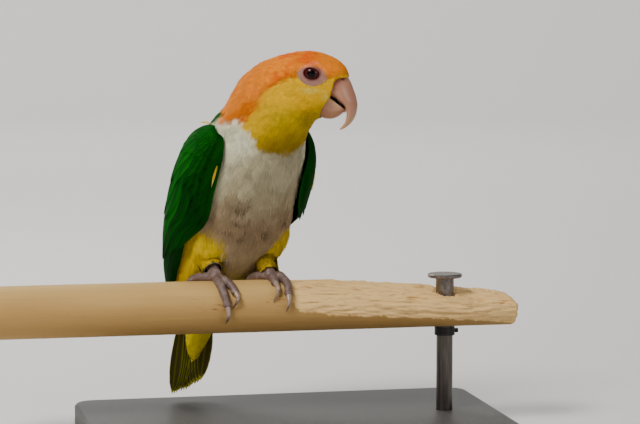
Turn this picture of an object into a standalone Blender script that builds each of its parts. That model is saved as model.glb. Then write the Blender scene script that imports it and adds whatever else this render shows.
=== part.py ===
"""A white-bellied caique, life size, gripping a gnawed perch that a plain display stand holds up.

Row frame: the perch runs along X, the bird looks roughly along -Y, Z is up and the base stands on z = 0.
Bird frame: the same height, turned by BODY_TURN about Z; +X is the bird's left, -Y its front, and the
origin is on the perch's axis between the feet.  Head frame: -Y is the way the bill points.
Perch frame: the row's directions, with the bird frame's origin.
"""
import math
from collections import namedtuple

import bmesh
import bpy
import numpy as np
from mathutils import Matrix, Vector, noise

MM = 0.001
GAP = 0.3 * MM            # kept between pieces that touch
SKIN_GAP = 1.2 * MM       # kept between a wing and the body it is folded over

# Perch and stand
PERCH_LENGTH = 320 * MM
PERCH_RADIUS = 15 * MM
PERCH_SIDES = 30
ROD_X = 119 * MM
ROD_RADIUS = 4.75 * MM
BORE_RADIUS = 5.6 * MM
ROD_TOP = 2 * MM          # the rod ends here inside the perch, above its axis
CAP_RADIUS = 10 * MM
CAP_THICKNESS = 2.1 * MM
CAP_UNDERSIDE = 13.7 * MM
SHANK_RADIUS = 5.25 * MM
COLLAR_RADIUS = 5.9 * MM
COLLAR_HEIGHT = 4.6 * MM
LUG_LENGTH = 3 * MM
LUG_RADIUS = 1.3 * MM
BASE_SIZE = (240 * MM, 150 * MM, 12 * MM)
BASE_X = 30 * MM
BASE_CORNER = 12 * MM
BASE_EDGE = 1.5 * MM
SOCKET_DEPTH = 7 * MM
TAIL_ROOM = 64 * MM       # from the base's top to the perch's axis
PERCH_Z = BASE_SIZE[2] + TAIL_ROOM

# Where the bird has gnawed the perch: distance along it, height of the bitten face over the axis, and
# how far that face is turned from level to the front, in degrees
BITE = ((20, 15.6, 32), (42, 12.6, 26), (60, 10.1, 20), (99, 6.0, 15), (129, 3.4, 11), (152, 0.9, 9), (168, -1.6, 8))
BITE_ROUGHNESS = 1.1 * MM
NOTCH_RADIUS = 7.5 * MM
NOTCH_FLOOR = 5.0 * MM

# The bird's place and turns
BIRD_X = 4 * MM
BODY_TURN = 16            # degrees from -Y towards +X
HEAD_TURN = 50            # degrees further, relative to the body
HEAD_CENTRE = Vector((12.3, -29.2, 130.4)) * MM

# Sections across the trunk and neck, from the rump up: place in the bird frame, turn and forward lean in
# degrees, half width, and half depth
Section = namedtuple("Section", "x y z turn lean half_width half_depth")
TRUNK = (
    Section(-6.0, 54.5, -13, 0, 20, 12.5, 6.5),      # root of the tail
    Section(-5.2, 51, -4, 0, 24, 17.5, 10.5),
    Section(-3.8, 45.5, 6, 0, 27, 24, 16),           # vent
    Section(-2.2, 38.5, 18.5, 0, 28, 30, 22),
    Section(-0.5, 30, 35, 0, 29, 34.5, 27.5),        # lower belly
    Section(0, 21.5, 51, 0, 31, 36, 30),
    Section(0, 13, 66, 0, 33, 35.5, 31),
    Section(0, 3, 81, 0, 35, 34, 30.5),              # breast
    Section(0.5, -6.5, 93.5, 3, 36, 30.5, 28),
    Section(1.6, -14.5, 103.6, 9, 34, 26, 25.5),     # root of the neck
)
NECK = (
    TRUNK[-1],
    Section(3.8, -21.3, 114.2, 24, 24, 21.5, 26.5),
    Section(7.2, -25.3, 122.2, 40, 22, 17.5, 25.5),
    Section(8.3, -27.1, 129.5, 48, 25, 13, 19.5),    # inside the head
)

# Upright sections across the head, from the nape to the forehead: distance ahead of the head's centre,
# height of the crown line and of the jaw line over the centre, and half width
HEAD = (
    (-27.5, 1.0, -5.0, 2.5),
    (-25.0, 4.6, -11.0, 8.5),
    (-20.0, 8.8, -16.0, 12.6),
    (-12.5, 12.0, -19.0, 15.4),
    (-3.0, 14.9, -21.2, 16.8),
    (8.0, 16.6, -22.4, 16.6),
    (17.0, 15.4, -22.8, 15.0),
    (24.5, 12.4, -19.0, 12.4),
    (29.5, 8.6, -11.5, 9.0),
    (32.3, 3.6, -4.0, 3.5),
)
EYE_RADIUS = 5.6 * MM
EYE_AHEAD = 13.4 * MM
EYE_ASIDE = 10.6 * MM
EYE_UP = 3.6 * MM

# Sections down the bill in the head's mid plane: outer point (ahead, up), inner point and half width
UPPER_BILL = (
    ((22.0, 2.6), (16.5, -9.0), 7.4),
    ((27.5, 2.6), (21.0, -9.4), 7.7),
    ((32.3, 0.4), (24.6, -9.6), 7.4),
    ((35.6, -4.8), (27.6, -11.6), 6.6),
    ((37.3, -12.0), (30.2, -15.2), 5.2),
    ((36.5, -18.0), (31.1, -19.2), 3.9),
    ((34.4, -23.0), (30.2, -23.2), 2.7),
    ((31.0, -26.3), (28.8, -25.4), 1.5),
    ((27.4, -28.2), (27.0, -27.5), 0.5),
)
LOWER_BILL = (
    ((13.5, -20.0), (16.0, -11.0), 5.6),
    ((17.4, -21.4), (19.0, -11.2), 6.4),
    ((22.0, -22.0), (23.2, -12.0), 6.3),
    ((25.8, -20.8), (26.6, -14.6), 5.0),
    ((28.6, -18.8), (28.6, -16.2), 3.2),
    ((29.8, -17.6), (29.6, -16.9), 1.4),
)

# Outline, in the head's mid plane, of the room ahead of the face that only the bill fills
FACE = ((26.6, 0.6), (42, 0.6), (42, -32), (15.5, -32), (16.8, -21.8), (19.6, -15.4), (23.6, -9.6), (25.4, -5.0))
FACE_WIDTH = 44 * MM

# Folded wings: along the body from the wrist to the tip of the primaries.  Height where the wing crosses
# the body's line, angles of the right wing's front edge, of the left one's, and of both rear edges round
# the body from its front in degrees, and the most the wing stands out.  The left wing is held further back.
WING = (
    (101.5, 86, 86, 114, 0.9),
    (99, 74, 76, 124, 2.6),       # wrist
    (94, 65, 68, 133, 4.0),
    (86, 59, 62, 142, 4.4),
    (74, 54, 58, 152, 4.1),
    (60, 49, 62, 160, 3.7),
    (48, 48, 78, 165, 3.4),       # tip of the coverts
    (37, 59, 92, 170, 3.0),       # tip of the secondaries
    (24, 70, 97, 172, 2.5),
    (10, 80, 99, 172, 2.6),
    (-3, 92, 102, 168, 3.0),
    (-14, 108, 110, 160, 2.0),
    (-21, 124, 124, 148, 1.0),    # tip of the primaries
)
WING_COLUMNS = 7

# Sections across the tail and the soft wedge of feathers under its root
TAIL = (
    Section(-6.4, 56.6, -10, 0, 19, 12.0, 2.8),
    Section(-7.2, 60.4, -24, 0, 12, 14.0, 2.4),
    Section(-8.2, 63.3, -38, 0, 10, 13.6, 1.7),
    Section(-9.0, 65.6, -50, 0, 10, 12.2, 1.3),
    Section(-9.6, 67.0, -58.5, 0, 10, 8.8, 0.8),
)
UNDERTAIL = (
    Section(-5.6, 45.5, -6, 0, 24, 11.0, 5.0),
    Section(-6.0, 51.0, -14, 0, 20, 10.8, 5.2),
    Section(-6.8, 55.4, -23, 0, 14, 8.4, 3.8),
    Section(-7.4, 58.8, -33, 0, 11, 4.6, 2.0),
    Section(-7.6, 60.6, -39, 0, 10, 1.4, 0.8),
)

# Legs in the bird frame, and feet on the perch: distance along it and degrees round it, top to front
RIGHT_THIGH = ((-22.5, 21, 55, 5.0), (-22, 19, 49, 9.5), (-21.2, 16, 40, 11.0), (-19.8, 15.2, 31, 9.8),
               (-18.4, 15.6, 24.6, 6.2))
LEFT_THIGH = ((23.8, 18, 54, 5.0), (23, 17, 48, 9.5), (21.8, 15, 39, 11.0), (18.6, 13, 30.5, 9.6),
              (15.2, 10.6, 24.4, 6.4))
TARSUS_RADIUS = 3.3 * MM
TOE_RADIUS = 2.7 * MM
PAD_RADIUS = 4.7 * MM
CLAW_RADIUS = 1.45 * MM
Toe = namedtuple("Toe", "path claw")
RIGHT_FOOT = (-20, (
    Toe(((-20, 4), (-15.8, 22), (-12.6, 39), (-11.1, 52)), ((-9.8, 69), (-12.6, 88))),
    Toe(((-20, 4), (-19, 34), (-17.4, 59), (-16, 79)), ((-15.4, 99), (-16.4, 121))),
    Toe(((-20, 0), (-25.5, -8), (-31, -24), (-35.5, -58)), ((-37, -82), (-37.5, -104))),
    Toe(((-20, -4), (-17.6, -32), (-15.6, -66)), ((-14.8, -90), (-15.2, -112))),
))
LEFT_FOOT = (11.5, (
    Toe(((11.5, 4), (12.2, 17), (12.8, 31)), ((13.6, 53), (10.8, 77))),
    Toe(((11.5, 4), (16.6, 11), (19.5, 34), (19.6, 59)), ((19.2, 78), (18.2, 97))),
    Toe(((11.5, 0), (17.5, -12), (21.5, -38), (23.5, -68)), ((24.2, -92), (24.2, -113))),
    Toe(((11.5, 0), (6.2, -8), (2.4, -32), (0.4, -66)), ((-0.6, -90), (-0.6, -112))),
))
ANKLE_RIGHT = Vector((-18.2, 18.0, 27.0)) * MM
ANKLE_LEFT = Vector((14.8, 13.2, 26.8)) * MM
RING_RADIUS = 5.7 * MM
RING_WALL = 0.7 * MM
RING_HEIGHT = 4.4 * MM
RING_PLACE = 0.43         # share of the way from the foot to the ankle

# Rings along and sides round the lofted pieces
TRUNK_MESH = (16, 20)
NECK_MESH = (7, 20)
HEAD_MESH = (13, 18)
TAIL_MESH = (8, 14)
UNDERTAIL_MESH = (7, 12)
THIGH_MESH = (7, 12)
BILL_SIDES = 12
WING_RINGS = 17

COLOURS = {
    "orange": (0.80, 0.28, 0.04), "cream": (0.62, 0.56, 0.42), "green": (0.01, 0.14, 0.01),
    "yellow": (0.60, 0.42, 0.01), "horn": (0.55, 0.42, 0.33), "iris": (0.16, 0.03, 0.03),
    "foot": (0.20, 0.15, 0.13), "claw": (0.10, 0.08, 0.07), "steel": (0.35, 0.33, 0.31),
    "dark_steel": (0.05, 0.05, 0.05), "wood": (0.62, 0.44, 0.24), "base": (0.30, 0.28, 0.26),
}


def material(name, roughness=0.6, metallic=0.0):
    """A Principled material in one of the named colours, made once."""
    found = bpy.data.materials.get(name)
    if found:
        return found
    made = bpy.data.materials.new(name)
    made.use_nodes = True
    shader = made.node_tree.nodes["Principled BSDF"]
    shader.inputs["Base Color"].default_value = (*COLOURS[name], 1)
    shader.inputs["Roughness"].default_value = roughness
    shader.inputs["Metallic"].default_value = metallic
    return made


def collection(name):
    """A collection under the scene, made once."""
    found = bpy.data.collections.get(name)
    if found:
        return found
    made = bpy.data.collections.new(name)
    bpy.context.scene.collection.children.link(made)
    return made


def frame(name, place, turn, parent=None):
    """An empty that carries a frame: its pieces' meshes are in its coordinates."""
    empty = bpy.data.objects.new(name, None)
    empty.location = place
    empty.rotation_euler.z = math.radians(turn)
    empty.parent = parent
    collection("caique").objects.link(empty)
    return empty


def add_object(name, bm, parent, finish, cutter=False):
    """Turn a bmesh into a smooth-shaded object, or into a cutter."""
    bmesh.ops.recalc_face_normals(bm, faces=bm.faces)
    mesh = bpy.data.meshes.new(name)
    bm.to_mesh(mesh)
    bm.free()
    mesh.shade_smooth()
    mesh.set_sharp_from_angle(angle=math.radians(50))
    made = bpy.data.objects.new(name, mesh)
    made.parent = parent
    if cutter:
        made.hide_render = True
        made.display_type = "WIRE"
        collection("cutters").objects.link(made)
    else:
        mesh.materials.append(finish)
        collection("caique").objects.link(made)
    return made


def smooth_rows(rows, count):
    """Read rows off a Catmull-Rom curve through the given ones."""
    table = np.array(rows, dtype=float)
    ends = np.vstack([2 * table[0] - table[1], table, 2 * table[-1] - table[-2]])
    result = []
    for step in np.linspace(0, len(table) - 1, count):
        first = min(int(step), len(table) - 2)
        t = step - first
        a, b, c, d = ends[first:first + 4]
        result.append(0.5 * (2 * b + (c - a) * t + (2 * a - 5 * b + 4 * c - d) * t * t
                             + (3 * b - a - 3 * c + d) * t ** 3))
    return result


def loft(name, rings, parent, finish, cutter=False):
    """Skin a row of rings that have the same number of points, and close both ends."""
    bm = bmesh.new()
    rows = [[bm.verts.new(point) for point in ring] for ring in rings]
    for near, far in zip(rows, rows[1:]):
        for i in range(len(near)):
            j = (i + 1) % len(near)
            bm.faces.new((near[i], near[j], far[j], far[i]))
    bm.faces.new(rows[0])
    bm.faces.new(rows[-1])
    return add_object(name, bm, parent, finish, cutter)


def section_point(section, angle, outward=0.0):
    """A point on a section's ellipse, at an angle round the body from its front towards its left."""
    turn = math.radians(section.turn)
    lean = math.radians(section.lean)
    side = Vector((math.cos(turn), math.sin(turn), 0))
    front = Vector((math.sin(turn) * math.cos(lean), -math.cos(turn) * math.cos(lean), -math.sin(lean)))
    centre = Vector((section.x, section.y, section.z)) * MM
    across = section.half_width * MM + outward
    deep = section.half_depth * MM + outward
    return centre + side * (across * math.sin(angle)) + front * (deep * math.cos(angle))


def section_rings(sections, count, sides):
    """Rings for a loft along smoothly joined sections."""
    rings = []
    for row in smooth_rows(sections, count):
        section = Section(*row)
        rings.append([section_point(section, math.tau * i / sides) for i in range(sides)])
    return rings


def tube(name, points, radii, parent, finish, cutter=False):
    """A round tapering tube through the points, as a closed mesh."""
    curve = bpy.data.curves.new(name, "CURVE")
    curve.dimensions = "3D"
    curve.bevel_depth = 1.0
    curve.bevel_resolution = 1
    curve.use_fill_caps = True
    rows = smooth_rows([(*point, radius) for point, radius in zip(points, radii)], 2 * len(points) - 1)
    spline = curve.splines.new("POLY")
    spline.points.add(len(rows) - 1)
    for point, row in zip(spline.points, rows):
        point.co = (*row[:3], 1)
        point.radius = row[3]
    carrier = bpy.data.objects.new(name, curve)
    bpy.context.scene.collection.objects.link(carrier)
    mesh = bpy.data.meshes.new_from_object(carrier.evaluated_get(bpy.context.evaluated_depsgraph_get()))
    bpy.data.objects.remove(carrier)
    bm = bmesh.new()
    bm.from_mesh(mesh)
    bpy.data.meshes.remove(mesh)
    bmesh.ops.remove_doubles(bm, verts=bm.verts, dist=0.01 * MM)
    return add_object(name, bm, parent, finish, cutter)


def baked(obj):
    """The object's mesh with its modifiers applied, as a bmesh in its own coordinates."""
    bpy.context.view_layer.update()
    graph = bpy.context.evaluated_depsgraph_get()
    mesh = bpy.data.meshes.new_from_object(obj.evaluated_get(graph))
    bm = bmesh.new()
    bm.from_mesh(mesh)
    bpy.data.meshes.remove(mesh)
    return bm


def grown(obj, distance=GAP):
    """A cutter a little larger than the object all over."""
    bm = baked(obj)
    bmesh.ops.triangulate(bm, faces=bm.faces)
    bm.normal_update()
    moves = [vert.normal * distance for vert in bm.verts]
    for vert, move in zip(bm.verts, moves):
        vert.co += move
    return add_object(obj.name + "_room", bm, obj.parent, None, cutter=True)


def boolean(obj, other, operation="DIFFERENCE"):
    """Cut, join or trim one object by another."""
    modifier = obj.modifiers.new(operation.lower() + "_" + other.name, "BOOLEAN")
    modifier.operation = operation
    modifier.solver = "EXACT"
    modifier.object = other
    return modifier


def blend(obj, voxel, ratio):
    """Melt an object's overlapping bodies into one smooth skin with few faces."""
    remesh = obj.modifiers.new("melt", "REMESH")
    remesh.mode = "VOXEL"
    remesh.voxel_size = voxel
    soften = obj.modifiers.new("soften", "SMOOTH")
    soften.factor = 0.5
    soften.iterations = 3
    reduce = obj.modifiers.new("reduce", "DECIMATE")
    reduce.ratio = ratio


def join(name, objects, parent, finish):
    """One object out of several that share a parent, as loose bodies."""
    bm = bmesh.new()
    for obj in objects:
        bm.from_mesh(obj.data)
        bpy.data.objects.remove(obj)
    return add_object(name, bm, parent, finish)


def make_head(parent):
    """The head, from nape to forehead, without bill and eyes."""
    rings = []
    count, sides = HEAD_MESH
    for ahead, crown, jaw, half_width in smooth_rows(HEAD, count):
        middle = (crown + jaw) / 2
        half_height = (crown - jaw) / 2
        ring = []
        for i in range(sides):
            angle = math.tau * i / sides
            up = middle + half_height * math.cos(angle)
            ring.append(Vector((half_width * math.sin(angle), -ahead, up)) * MM)
        rings.append(ring)
    return loft("head", rings, parent, material("orange"))


def make_eye(name, side, parent):
    """An eyeball, set in the head."""
    bm = bmesh.new()
    place = Matrix.Translation((side * EYE_ASIDE, -EYE_AHEAD, EYE_UP))
    bmesh.ops.create_uvsphere(bm, u_segments=10, v_segments=6, radius=EYE_RADIUS, matrix=place)
    return add_object(name, bm, parent, material("iris", 0.1))


def make_bill(name, sections, parent):
    """One mandible: sections that are widest at their cutting edge."""
    rows = [(*outer, *inner, half_width) for outer, inner, half_width in sections]
    rings = []
    for outer_y, outer_z, inner_y, inner_z, half_width in smooth_rows(rows, 2 * len(sections) - 4):
        outer = Vector((0, -outer_y, outer_z))
        inner = Vector((0, -inner_y, inner_z))
        ring = []
        for i in range(BILL_SIDES):
            angle = math.tau * i / BILL_SIDES
            share = 0.5 + 0.5 * math.cos(angle)
            width = half_width * math.sin(angle) * (1.12 - 0.34 * math.cos(angle))
            ring.append((inner.lerp(outer, share) + Vector((width, 0, 0))) * MM)
        rings.append(ring)
    return loft(name, rings, parent, material("horn", 0.35))


def make_trunk(parent):
    """Breast, belly, back and rump."""
    return loft("trunk", section_rings(TRUNK, *TRUNK_MESH), parent, material("cream"))


def make_neck(parent):
    """The neck, from the shoulders into the head, just clear of the trunk."""
    rings = section_rings(NECK, *NECK_MESH)
    lift = (Vector(NECK[1][:3]) - Vector(NECK[0][:3])).normalized() * GAP
    rings[0] = [point + lift for point in rings[0]]
    return loft("neck", rings, parent, material("orange"))


def body_section_at(height):
    """The section of the tail, trunk or neck whose centre is nearest to a height."""
    rows = smooth_rows((TAIL[2], TAIL[1], *TRUNK, NECK[1]), 240)
    return Section(*min(rows, key=lambda row: abs(row[2] - height)))


def make_wing(name, side, parent):
    """A folded wing: a lens-shaped shell over the body's side, thickest in the middle of its width."""
    rings = []
    for height, right_front, left_front, rear, thickness in smooth_rows(WING, WING_RINGS):
        front = left_front if side > 0 else right_front
        section = body_section_at(height)
        inner = []
        outer = []
        for i in range(WING_COLUMNS + 1):
            share = i / WING_COLUMNS
            angle = side * math.radians(front + (rear - front) * share)
            swell = 0.35 + 0.65 * math.sin(math.pi * min(1, share * 0.9 + 0.1)) ** 0.7
            inner.append(section_point(section, angle, SKIN_GAP))
            outer.append(section_point(section, angle, SKIN_GAP + thickness * swell * MM))
        rings.append(outer + inner[::-1])
    return loft(name, rings, parent, material("green"))


def make_thigh(name, stations, parent):
    """The feathered thigh, from the flank to the ankle."""
    rings = []
    count, sides = THIGH_MESH
    for x, y, z, radius in smooth_rows(stations, count):
        section = Section(x, y, z, 0, 8, radius, radius * 1.05)
        rings.append([section_point(section, math.tau * i / sides) for i in range(sides)])
    return loft(name, rings, parent, material("yellow"))


def on_perch(along, degrees, height):
    """A point over the perch's round surface, in the perch frame."""
    angle = math.radians(degrees)
    reach = PERCH_RADIUS + height
    return Vector((along * MM, -reach * math.sin(angle), reach * math.cos(angle)))


def make_claw(name, toe, parent):
    """A curved claw, from inside the toe's end to its point on the perch."""
    (first_along, first_turn), (last_along, last_turn) = toe.claw
    root = on_perch(*toe.path[-1], TOE_RADIUS * 0.95)
    arch = on_perch(first_along, first_turn, CLAW_RADIUS * 2.0)
    tip = on_perch(last_along, last_turn, 0.8 * MM)
    radii = (CLAW_RADIUS, CLAW_RADIUS * 0.82, 0.35 * MM)
    return tube(name, (root, arch, tip), radii, parent, material("claw", 0.3))


def make_foot(name, foot, ankle, parent):
    """The foot and the bare leg above it, blended into one, before its claws are let in."""
    along, toes = foot
    pieces = []
    for toe in toes:
        points = [on_perch(*place, TOE_RADIUS * 0.85) for place in toe.path]
        radii = [TOE_RADIUS * (1.08 - 0.08 * i) for i in range(len(points))]
        pieces.append(tube("toe", points, radii, parent, material("foot")))
    pad = on_perch(along, 0, PAD_RADIUS * 0.72)
    bm = bmesh.new()
    bmesh.ops.create_uvsphere(bm, u_segments=14, v_segments=8, radius=PAD_RADIUS, matrix=Matrix.Translation(pad))
    pieces.append(add_object("pad", bm, parent, material("foot")))
    radii = (TARSUS_RADIUS * 1.15, TARSUS_RADIUS, TARSUS_RADIUS * 1.1)
    pieces.append(tube("tarsus", (pad, pad.lerp(ankle, 0.5), ankle), radii, parent, material("foot")))
    made = join(name, pieces, parent, material("foot"))
    blend(made, 0.9 * MM, 0.085)
    return made


def make_leg_ring(foot, ankle, parent):
    """The split metal ring that the right leg wears, loose round the shank."""
    pad = on_perch(foot[0], 0, PAD_RADIUS * 0.72)
    axis = (ankle - pad).normalized()
    centre = pad.lerp(ankle, RING_PLACE)
    half = RING_HEIGHT / 2
    outer = RING_RADIUS
    inner = RING_RADIUS - RING_WALL
    bm = bmesh.new()
    corners = ((outer, half), (outer, -half), (inner, -half), (inner, half))
    ring = [bm.verts.new((radius, 0, height)) for radius, height in corners]
    for i in range(4):
        bm.edges.new((ring[i], ring[(i + 1) % 4]))
    made = add_object("leg_ring", bm, parent, material("dark_steel", 0.3, 1.0))
    made.location = centre
    made.rotation_mode = "QUATERNION"
    made.rotation_quaternion = Vector((0, 0, 1)).rotation_difference(axis)
    turn = made.modifiers.new("turn", "SCREW")
    turn.steps = turn.render_steps = 16
    turn.use_merge_vertices = True
    turn.merge_threshold = 0.01 * MM
    return made


def cylinder(name, radius, low, high, place, parent, finish, sides=24, cutter=False):
    """An upright cylinder between two heights over a place."""
    bm = bmesh.new()
    middle = Matrix.Translation(Vector(place) + Vector((0, 0, (low + high) / 2)))
    bmesh.ops.create_cone(bm, cap_ends=True, segments=sides, radius1=radius, radius2=radius,
                          depth=high - low, matrix=middle)
    return add_object(name, bm, parent, finish, cutter)


def bite_point(along, across):
    """A point of the rough bitten face of the perch, in the perch frame."""
    places, heights, turns = zip(*BITE)
    angle = math.radians(np.interp(along, places, turns))
    rough = noise.noise(Vector((along * 0.075, across * 0.16, 3.1))) * 1.2
    rough += noise.noise(Vector((along * 0.26, across * 0.45, 7.7))) * 0.7
    height = np.interp(along, places, heights) * MM + rough * BITE_ROUGHNESS
    normal = Vector((0, -math.sin(angle), math.cos(angle)))
    sideways = Vector((0, -math.cos(angle), -math.sin(angle)))
    return Vector((along * MM, 0, 0)) + normal * height + sideways * (across * MM)


def make_bite(parent):
    """The cutter that takes away the gnawed wood: a rough sheet, thickened upwards."""
    bm = bmesh.new()
    rows = []
    for along in np.arange(BITE[0][0] - 4, BITE[-1][0] + 4, 6.0):
        rows.append([bm.verts.new(bite_point(along, across)) for across in np.arange(-20, 21, 5.0)])
    for near, far in zip(rows, rows[1:]):
        for i in range(len(near) - 1):
            bm.faces.new((near[i], near[i + 1], far[i + 1], far[i]))
    lid = bmesh.ops.extrude_face_region(bm, geom=bm.faces[:])
    for item in lid["geom"]:
        if isinstance(item, bmesh.types.BMVert):
            item.co.z += 40 * MM
            item.co.y *= 1.2
    return add_object("bite", bm, parent, None, cutter=True)


def make_perch(parent):
    """The round perch, gnawed towards its free end, with the rod's hole."""
    bm = bmesh.new()
    lay = Matrix.Rotation(math.radians(90), 4, "Y")
    bmesh.ops.create_cone(bm, cap_ends=True, segments=PERCH_SIDES, radius1=PERCH_RADIUS,
                          radius2=PERCH_RADIUS, depth=PERCH_LENGTH, matrix=lay)
    perch = add_object("perch", bm, parent, material("wood", 0.7))
    reach = PERCH_RADIUS * 2
    place = (ROD_X, 0, 0)
    boolean(perch, make_bite(parent))
    boolean(perch, cylinder("notch", NOTCH_RADIUS, NOTCH_FLOOR, reach, place, parent, None, cutter=True))
    boolean(perch, cylinder("bore", BORE_RADIUS, -reach, reach, place, parent, None, cutter=True))
    return perch


def make_cap(parent):
    """The flat cap on the rod's top and its shank in the perch's hole, turned in one piece."""
    bm = bmesh.new()
    top = CAP_UNDERSIDE + CAP_THICKNESS
    edge = 0.5 * MM
    profile = (
        (0, top), (CAP_RADIUS - edge, top), (CAP_RADIUS, top - edge), (CAP_RADIUS, CAP_UNDERSIDE + edge),
        (CAP_RADIUS - edge, CAP_UNDERSIDE), (SHANK_RADIUS, CAP_UNDERSIDE), (SHANK_RADIUS, ROD_TOP + GAP),
        (0, ROD_TOP + GAP),
    )
    verts = [bm.verts.new((radius, 0, height)) for radius, height in profile]
    for near, far in zip(verts, verts[1:]):
        bm.edges.new((near, far))
    made = add_object("stand_cap", bm, parent, material("steel", 0.35, 1.0))
    made.location = (ROD_X, 0, 0)
    turn = made.modifiers.new("turn", "SCREW")
    turn.steps = turn.render_steps = 20
    turn.use_merge_vertices = True
    turn.merge_threshold = 0.01 * MM
    return made


def make_collar(parent):
    """The dark collar that the perch sits on, with its clamping lug."""
    top = -PERCH_RADIUS - GAP
    collar = cylinder("stand_collar", COLLAR_RADIUS, top - COLLAR_HEIGHT, top, (ROD_X, 0, 0), parent,
                      material("dark_steel", 0.5, 1.0))
    bm = bmesh.new()
    lay = Matrix.Rotation(math.radians(90), 4, "Y")
    place = Matrix.Translation((ROD_X + COLLAR_RADIUS + LUG_LENGTH / 2 - 1 * MM, 0, top - COLLAR_HEIGHT / 2))
    bmesh.ops.create_cone(bm, cap_ends=True, segments=10, radius1=LUG_RADIUS, radius2=LUG_RADIUS,
                          depth=LUG_LENGTH, matrix=place @ lay)
    boolean(collar, add_object("lug", bm, parent, None, cutter=True), "UNION")
    hole = cylinder("collar_hole", ROD_RADIUS + GAP, top - 2 * COLLAR_HEIGHT, top + COLLAR_HEIGHT,
                    (ROD_X, 0, 0), parent, None, cutter=True)
    boolean(collar, hole)
    return collar


def make_base():
    """The flat base, rounded at its corners and along its top edge, with a socket for the rod."""
    bm = bmesh.new()
    size = Matrix.Diagonal((*BASE_SIZE, 1))
    bmesh.ops.create_cube(bm, size=1, matrix=Matrix.Translation((BASE_X, 0, BASE_SIZE[2] / 2)) @ size)
    upright = [edge for edge in bm.edges if abs(edge.verts[0].co.z - edge.verts[1].co.z) > MM]
    bmesh.ops.bevel(bm, geom=upright, offset=BASE_CORNER, segments=4, profile=0.5, affect="EDGES")
    rim = [edge for edge in bm.edges if min(vert.co.z for vert in edge.verts) > BASE_SIZE[2] - 0.1 * MM]
    bmesh.ops.bevel(bm, geom=rim, offset=BASE_EDGE, segments=1, profile=0.5, affect="EDGES")
    base = add_object("stand_base", bm, None, material("base", 0.6))
    socket = cylinder("socket", ROD_RADIUS + GAP, BASE_SIZE[2] - SOCKET_DEPTH, BASE_SIZE[2] + MM,
                      (ROD_X, 0, 0), None, None, cutter=True)
    boolean(base, socket)
    return base


def make_stand(perch_frame):
    """The rod, its cap and collar, and the base."""
    low = BASE_SIZE[2] - SOCKET_DEPTH + GAP - PERCH_Z
    cylinder("stand_rod", ROD_RADIUS, low, ROD_TOP, (ROD_X, 0, 0), perch_frame, material("steel", 0.35, 1.0))
    make_cap(perch_frame)
    make_collar(perch_frame)
    make_base()


def make_face_room(parent):
    """The cutter that ends the head where the bill comes out of the face."""
    bm = bmesh.new()
    near = [bm.verts.new((-FACE_WIDTH / 2, -ahead * MM, up * MM)) for ahead, up in FACE]
    sheet = bmesh.ops.extrude_face_region(bm, geom=[bm.faces.new(near)])
    moved = [item for item in sheet["geom"] if isinstance(item, bmesh.types.BMVert)]
    bmesh.ops.translate(bm, verts=moved, vec=(FACE_WIDTH, 0, 0))
    return add_object("face_room", bm, parent, None, cutter=True)


def make_head_parts(head_frame):
    """Head, eyes and bill, each let into the head."""
    head = make_head(head_frame)
    upper = make_bill("bill_upper", UPPER_BILL, head_frame)
    lower = make_bill("bill_lower", LOWER_BILL, head_frame)
    whole_head = grown(head)
    boolean(head, make_face_room(head_frame))
    for piece in (upper, lower, make_eye("eye_left", 1, head_frame), make_eye("eye_right", -1, head_frame)):
        boolean(head, grown(piece))
    return whole_head


def make_legs(bird_frame, perch_frame):
    """Thighs, bare legs with toes, claws and the leg ring."""
    perch_room = perch_room_cutter(perch_frame)
    to_perch = Matrix.Rotation(math.radians(BODY_TURN), 3, "Z")
    legs = (("right", RIGHT_FOOT, ANKLE_RIGHT, RIGHT_THIGH), ("left", LEFT_FOOT, ANKLE_LEFT, LEFT_THIGH))
    thighs = []
    feet = []
    for side, foot_plan, ankle, stations in legs:
        foot = make_foot("foot_" + side, foot_plan, to_perch @ ankle, perch_frame)
        thigh = make_thigh("thigh_" + side, stations, bird_frame)
        whole_thigh = grown(thigh)
        boolean(thigh, grown(foot, 0.4 * MM))
        boolean(foot, perch_room)
        for number, toe in enumerate(foot_plan[1], start=1):
            claw = make_claw(f"claw_{side}_{number}", toe, perch_frame)
            boolean(foot, grown(claw, 0.25 * MM))
        thighs.append((thigh, whole_thigh))
        feet.append(foot)
    ring = make_leg_ring(RIGHT_FOOT, to_perch @ ANKLE_RIGHT, perch_frame)
    boolean(feet[0], grown_ring(ring))
    return thighs, feet, ring


def perch_room_cutter(parent):
    """The perch grown by the gap, which the soles are flattened against."""
    bm = bmesh.new()
    lay = Matrix.Rotation(math.radians(90), 4, "Y")
    radius = (PERCH_RADIUS + GAP) / math.cos(math.pi / 64)
    bmesh.ops.create_cone(bm, cap_ends=True, segments=64, radius1=radius, radius2=radius,
                          depth=PERCH_LENGTH / 2, matrix=lay)
    return add_object("perch_room", bm, parent, None, cutter=True)


def grown_ring(ring):
    """A cutter that keeps the foot clear of the leg ring resting on it."""
    room = grown(ring)
    room.matrix_basis = ring.matrix_basis
    return room


def ring_room(ring, parent):
    """The space that the leg ring takes up, which the thigh stays out of."""
    bm = bmesh.new()
    bmesh.ops.create_cone(bm, cap_ends=True, segments=24, radius1=RING_RADIUS + 0.4 * MM,
                          radius2=RING_RADIUS + 0.4 * MM, depth=RING_HEIGHT + 0.8 * MM)
    room = add_object("ring_room", bm, parent, None, cutter=True)
    room.matrix_basis = ring.matrix_basis
    return room


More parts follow.
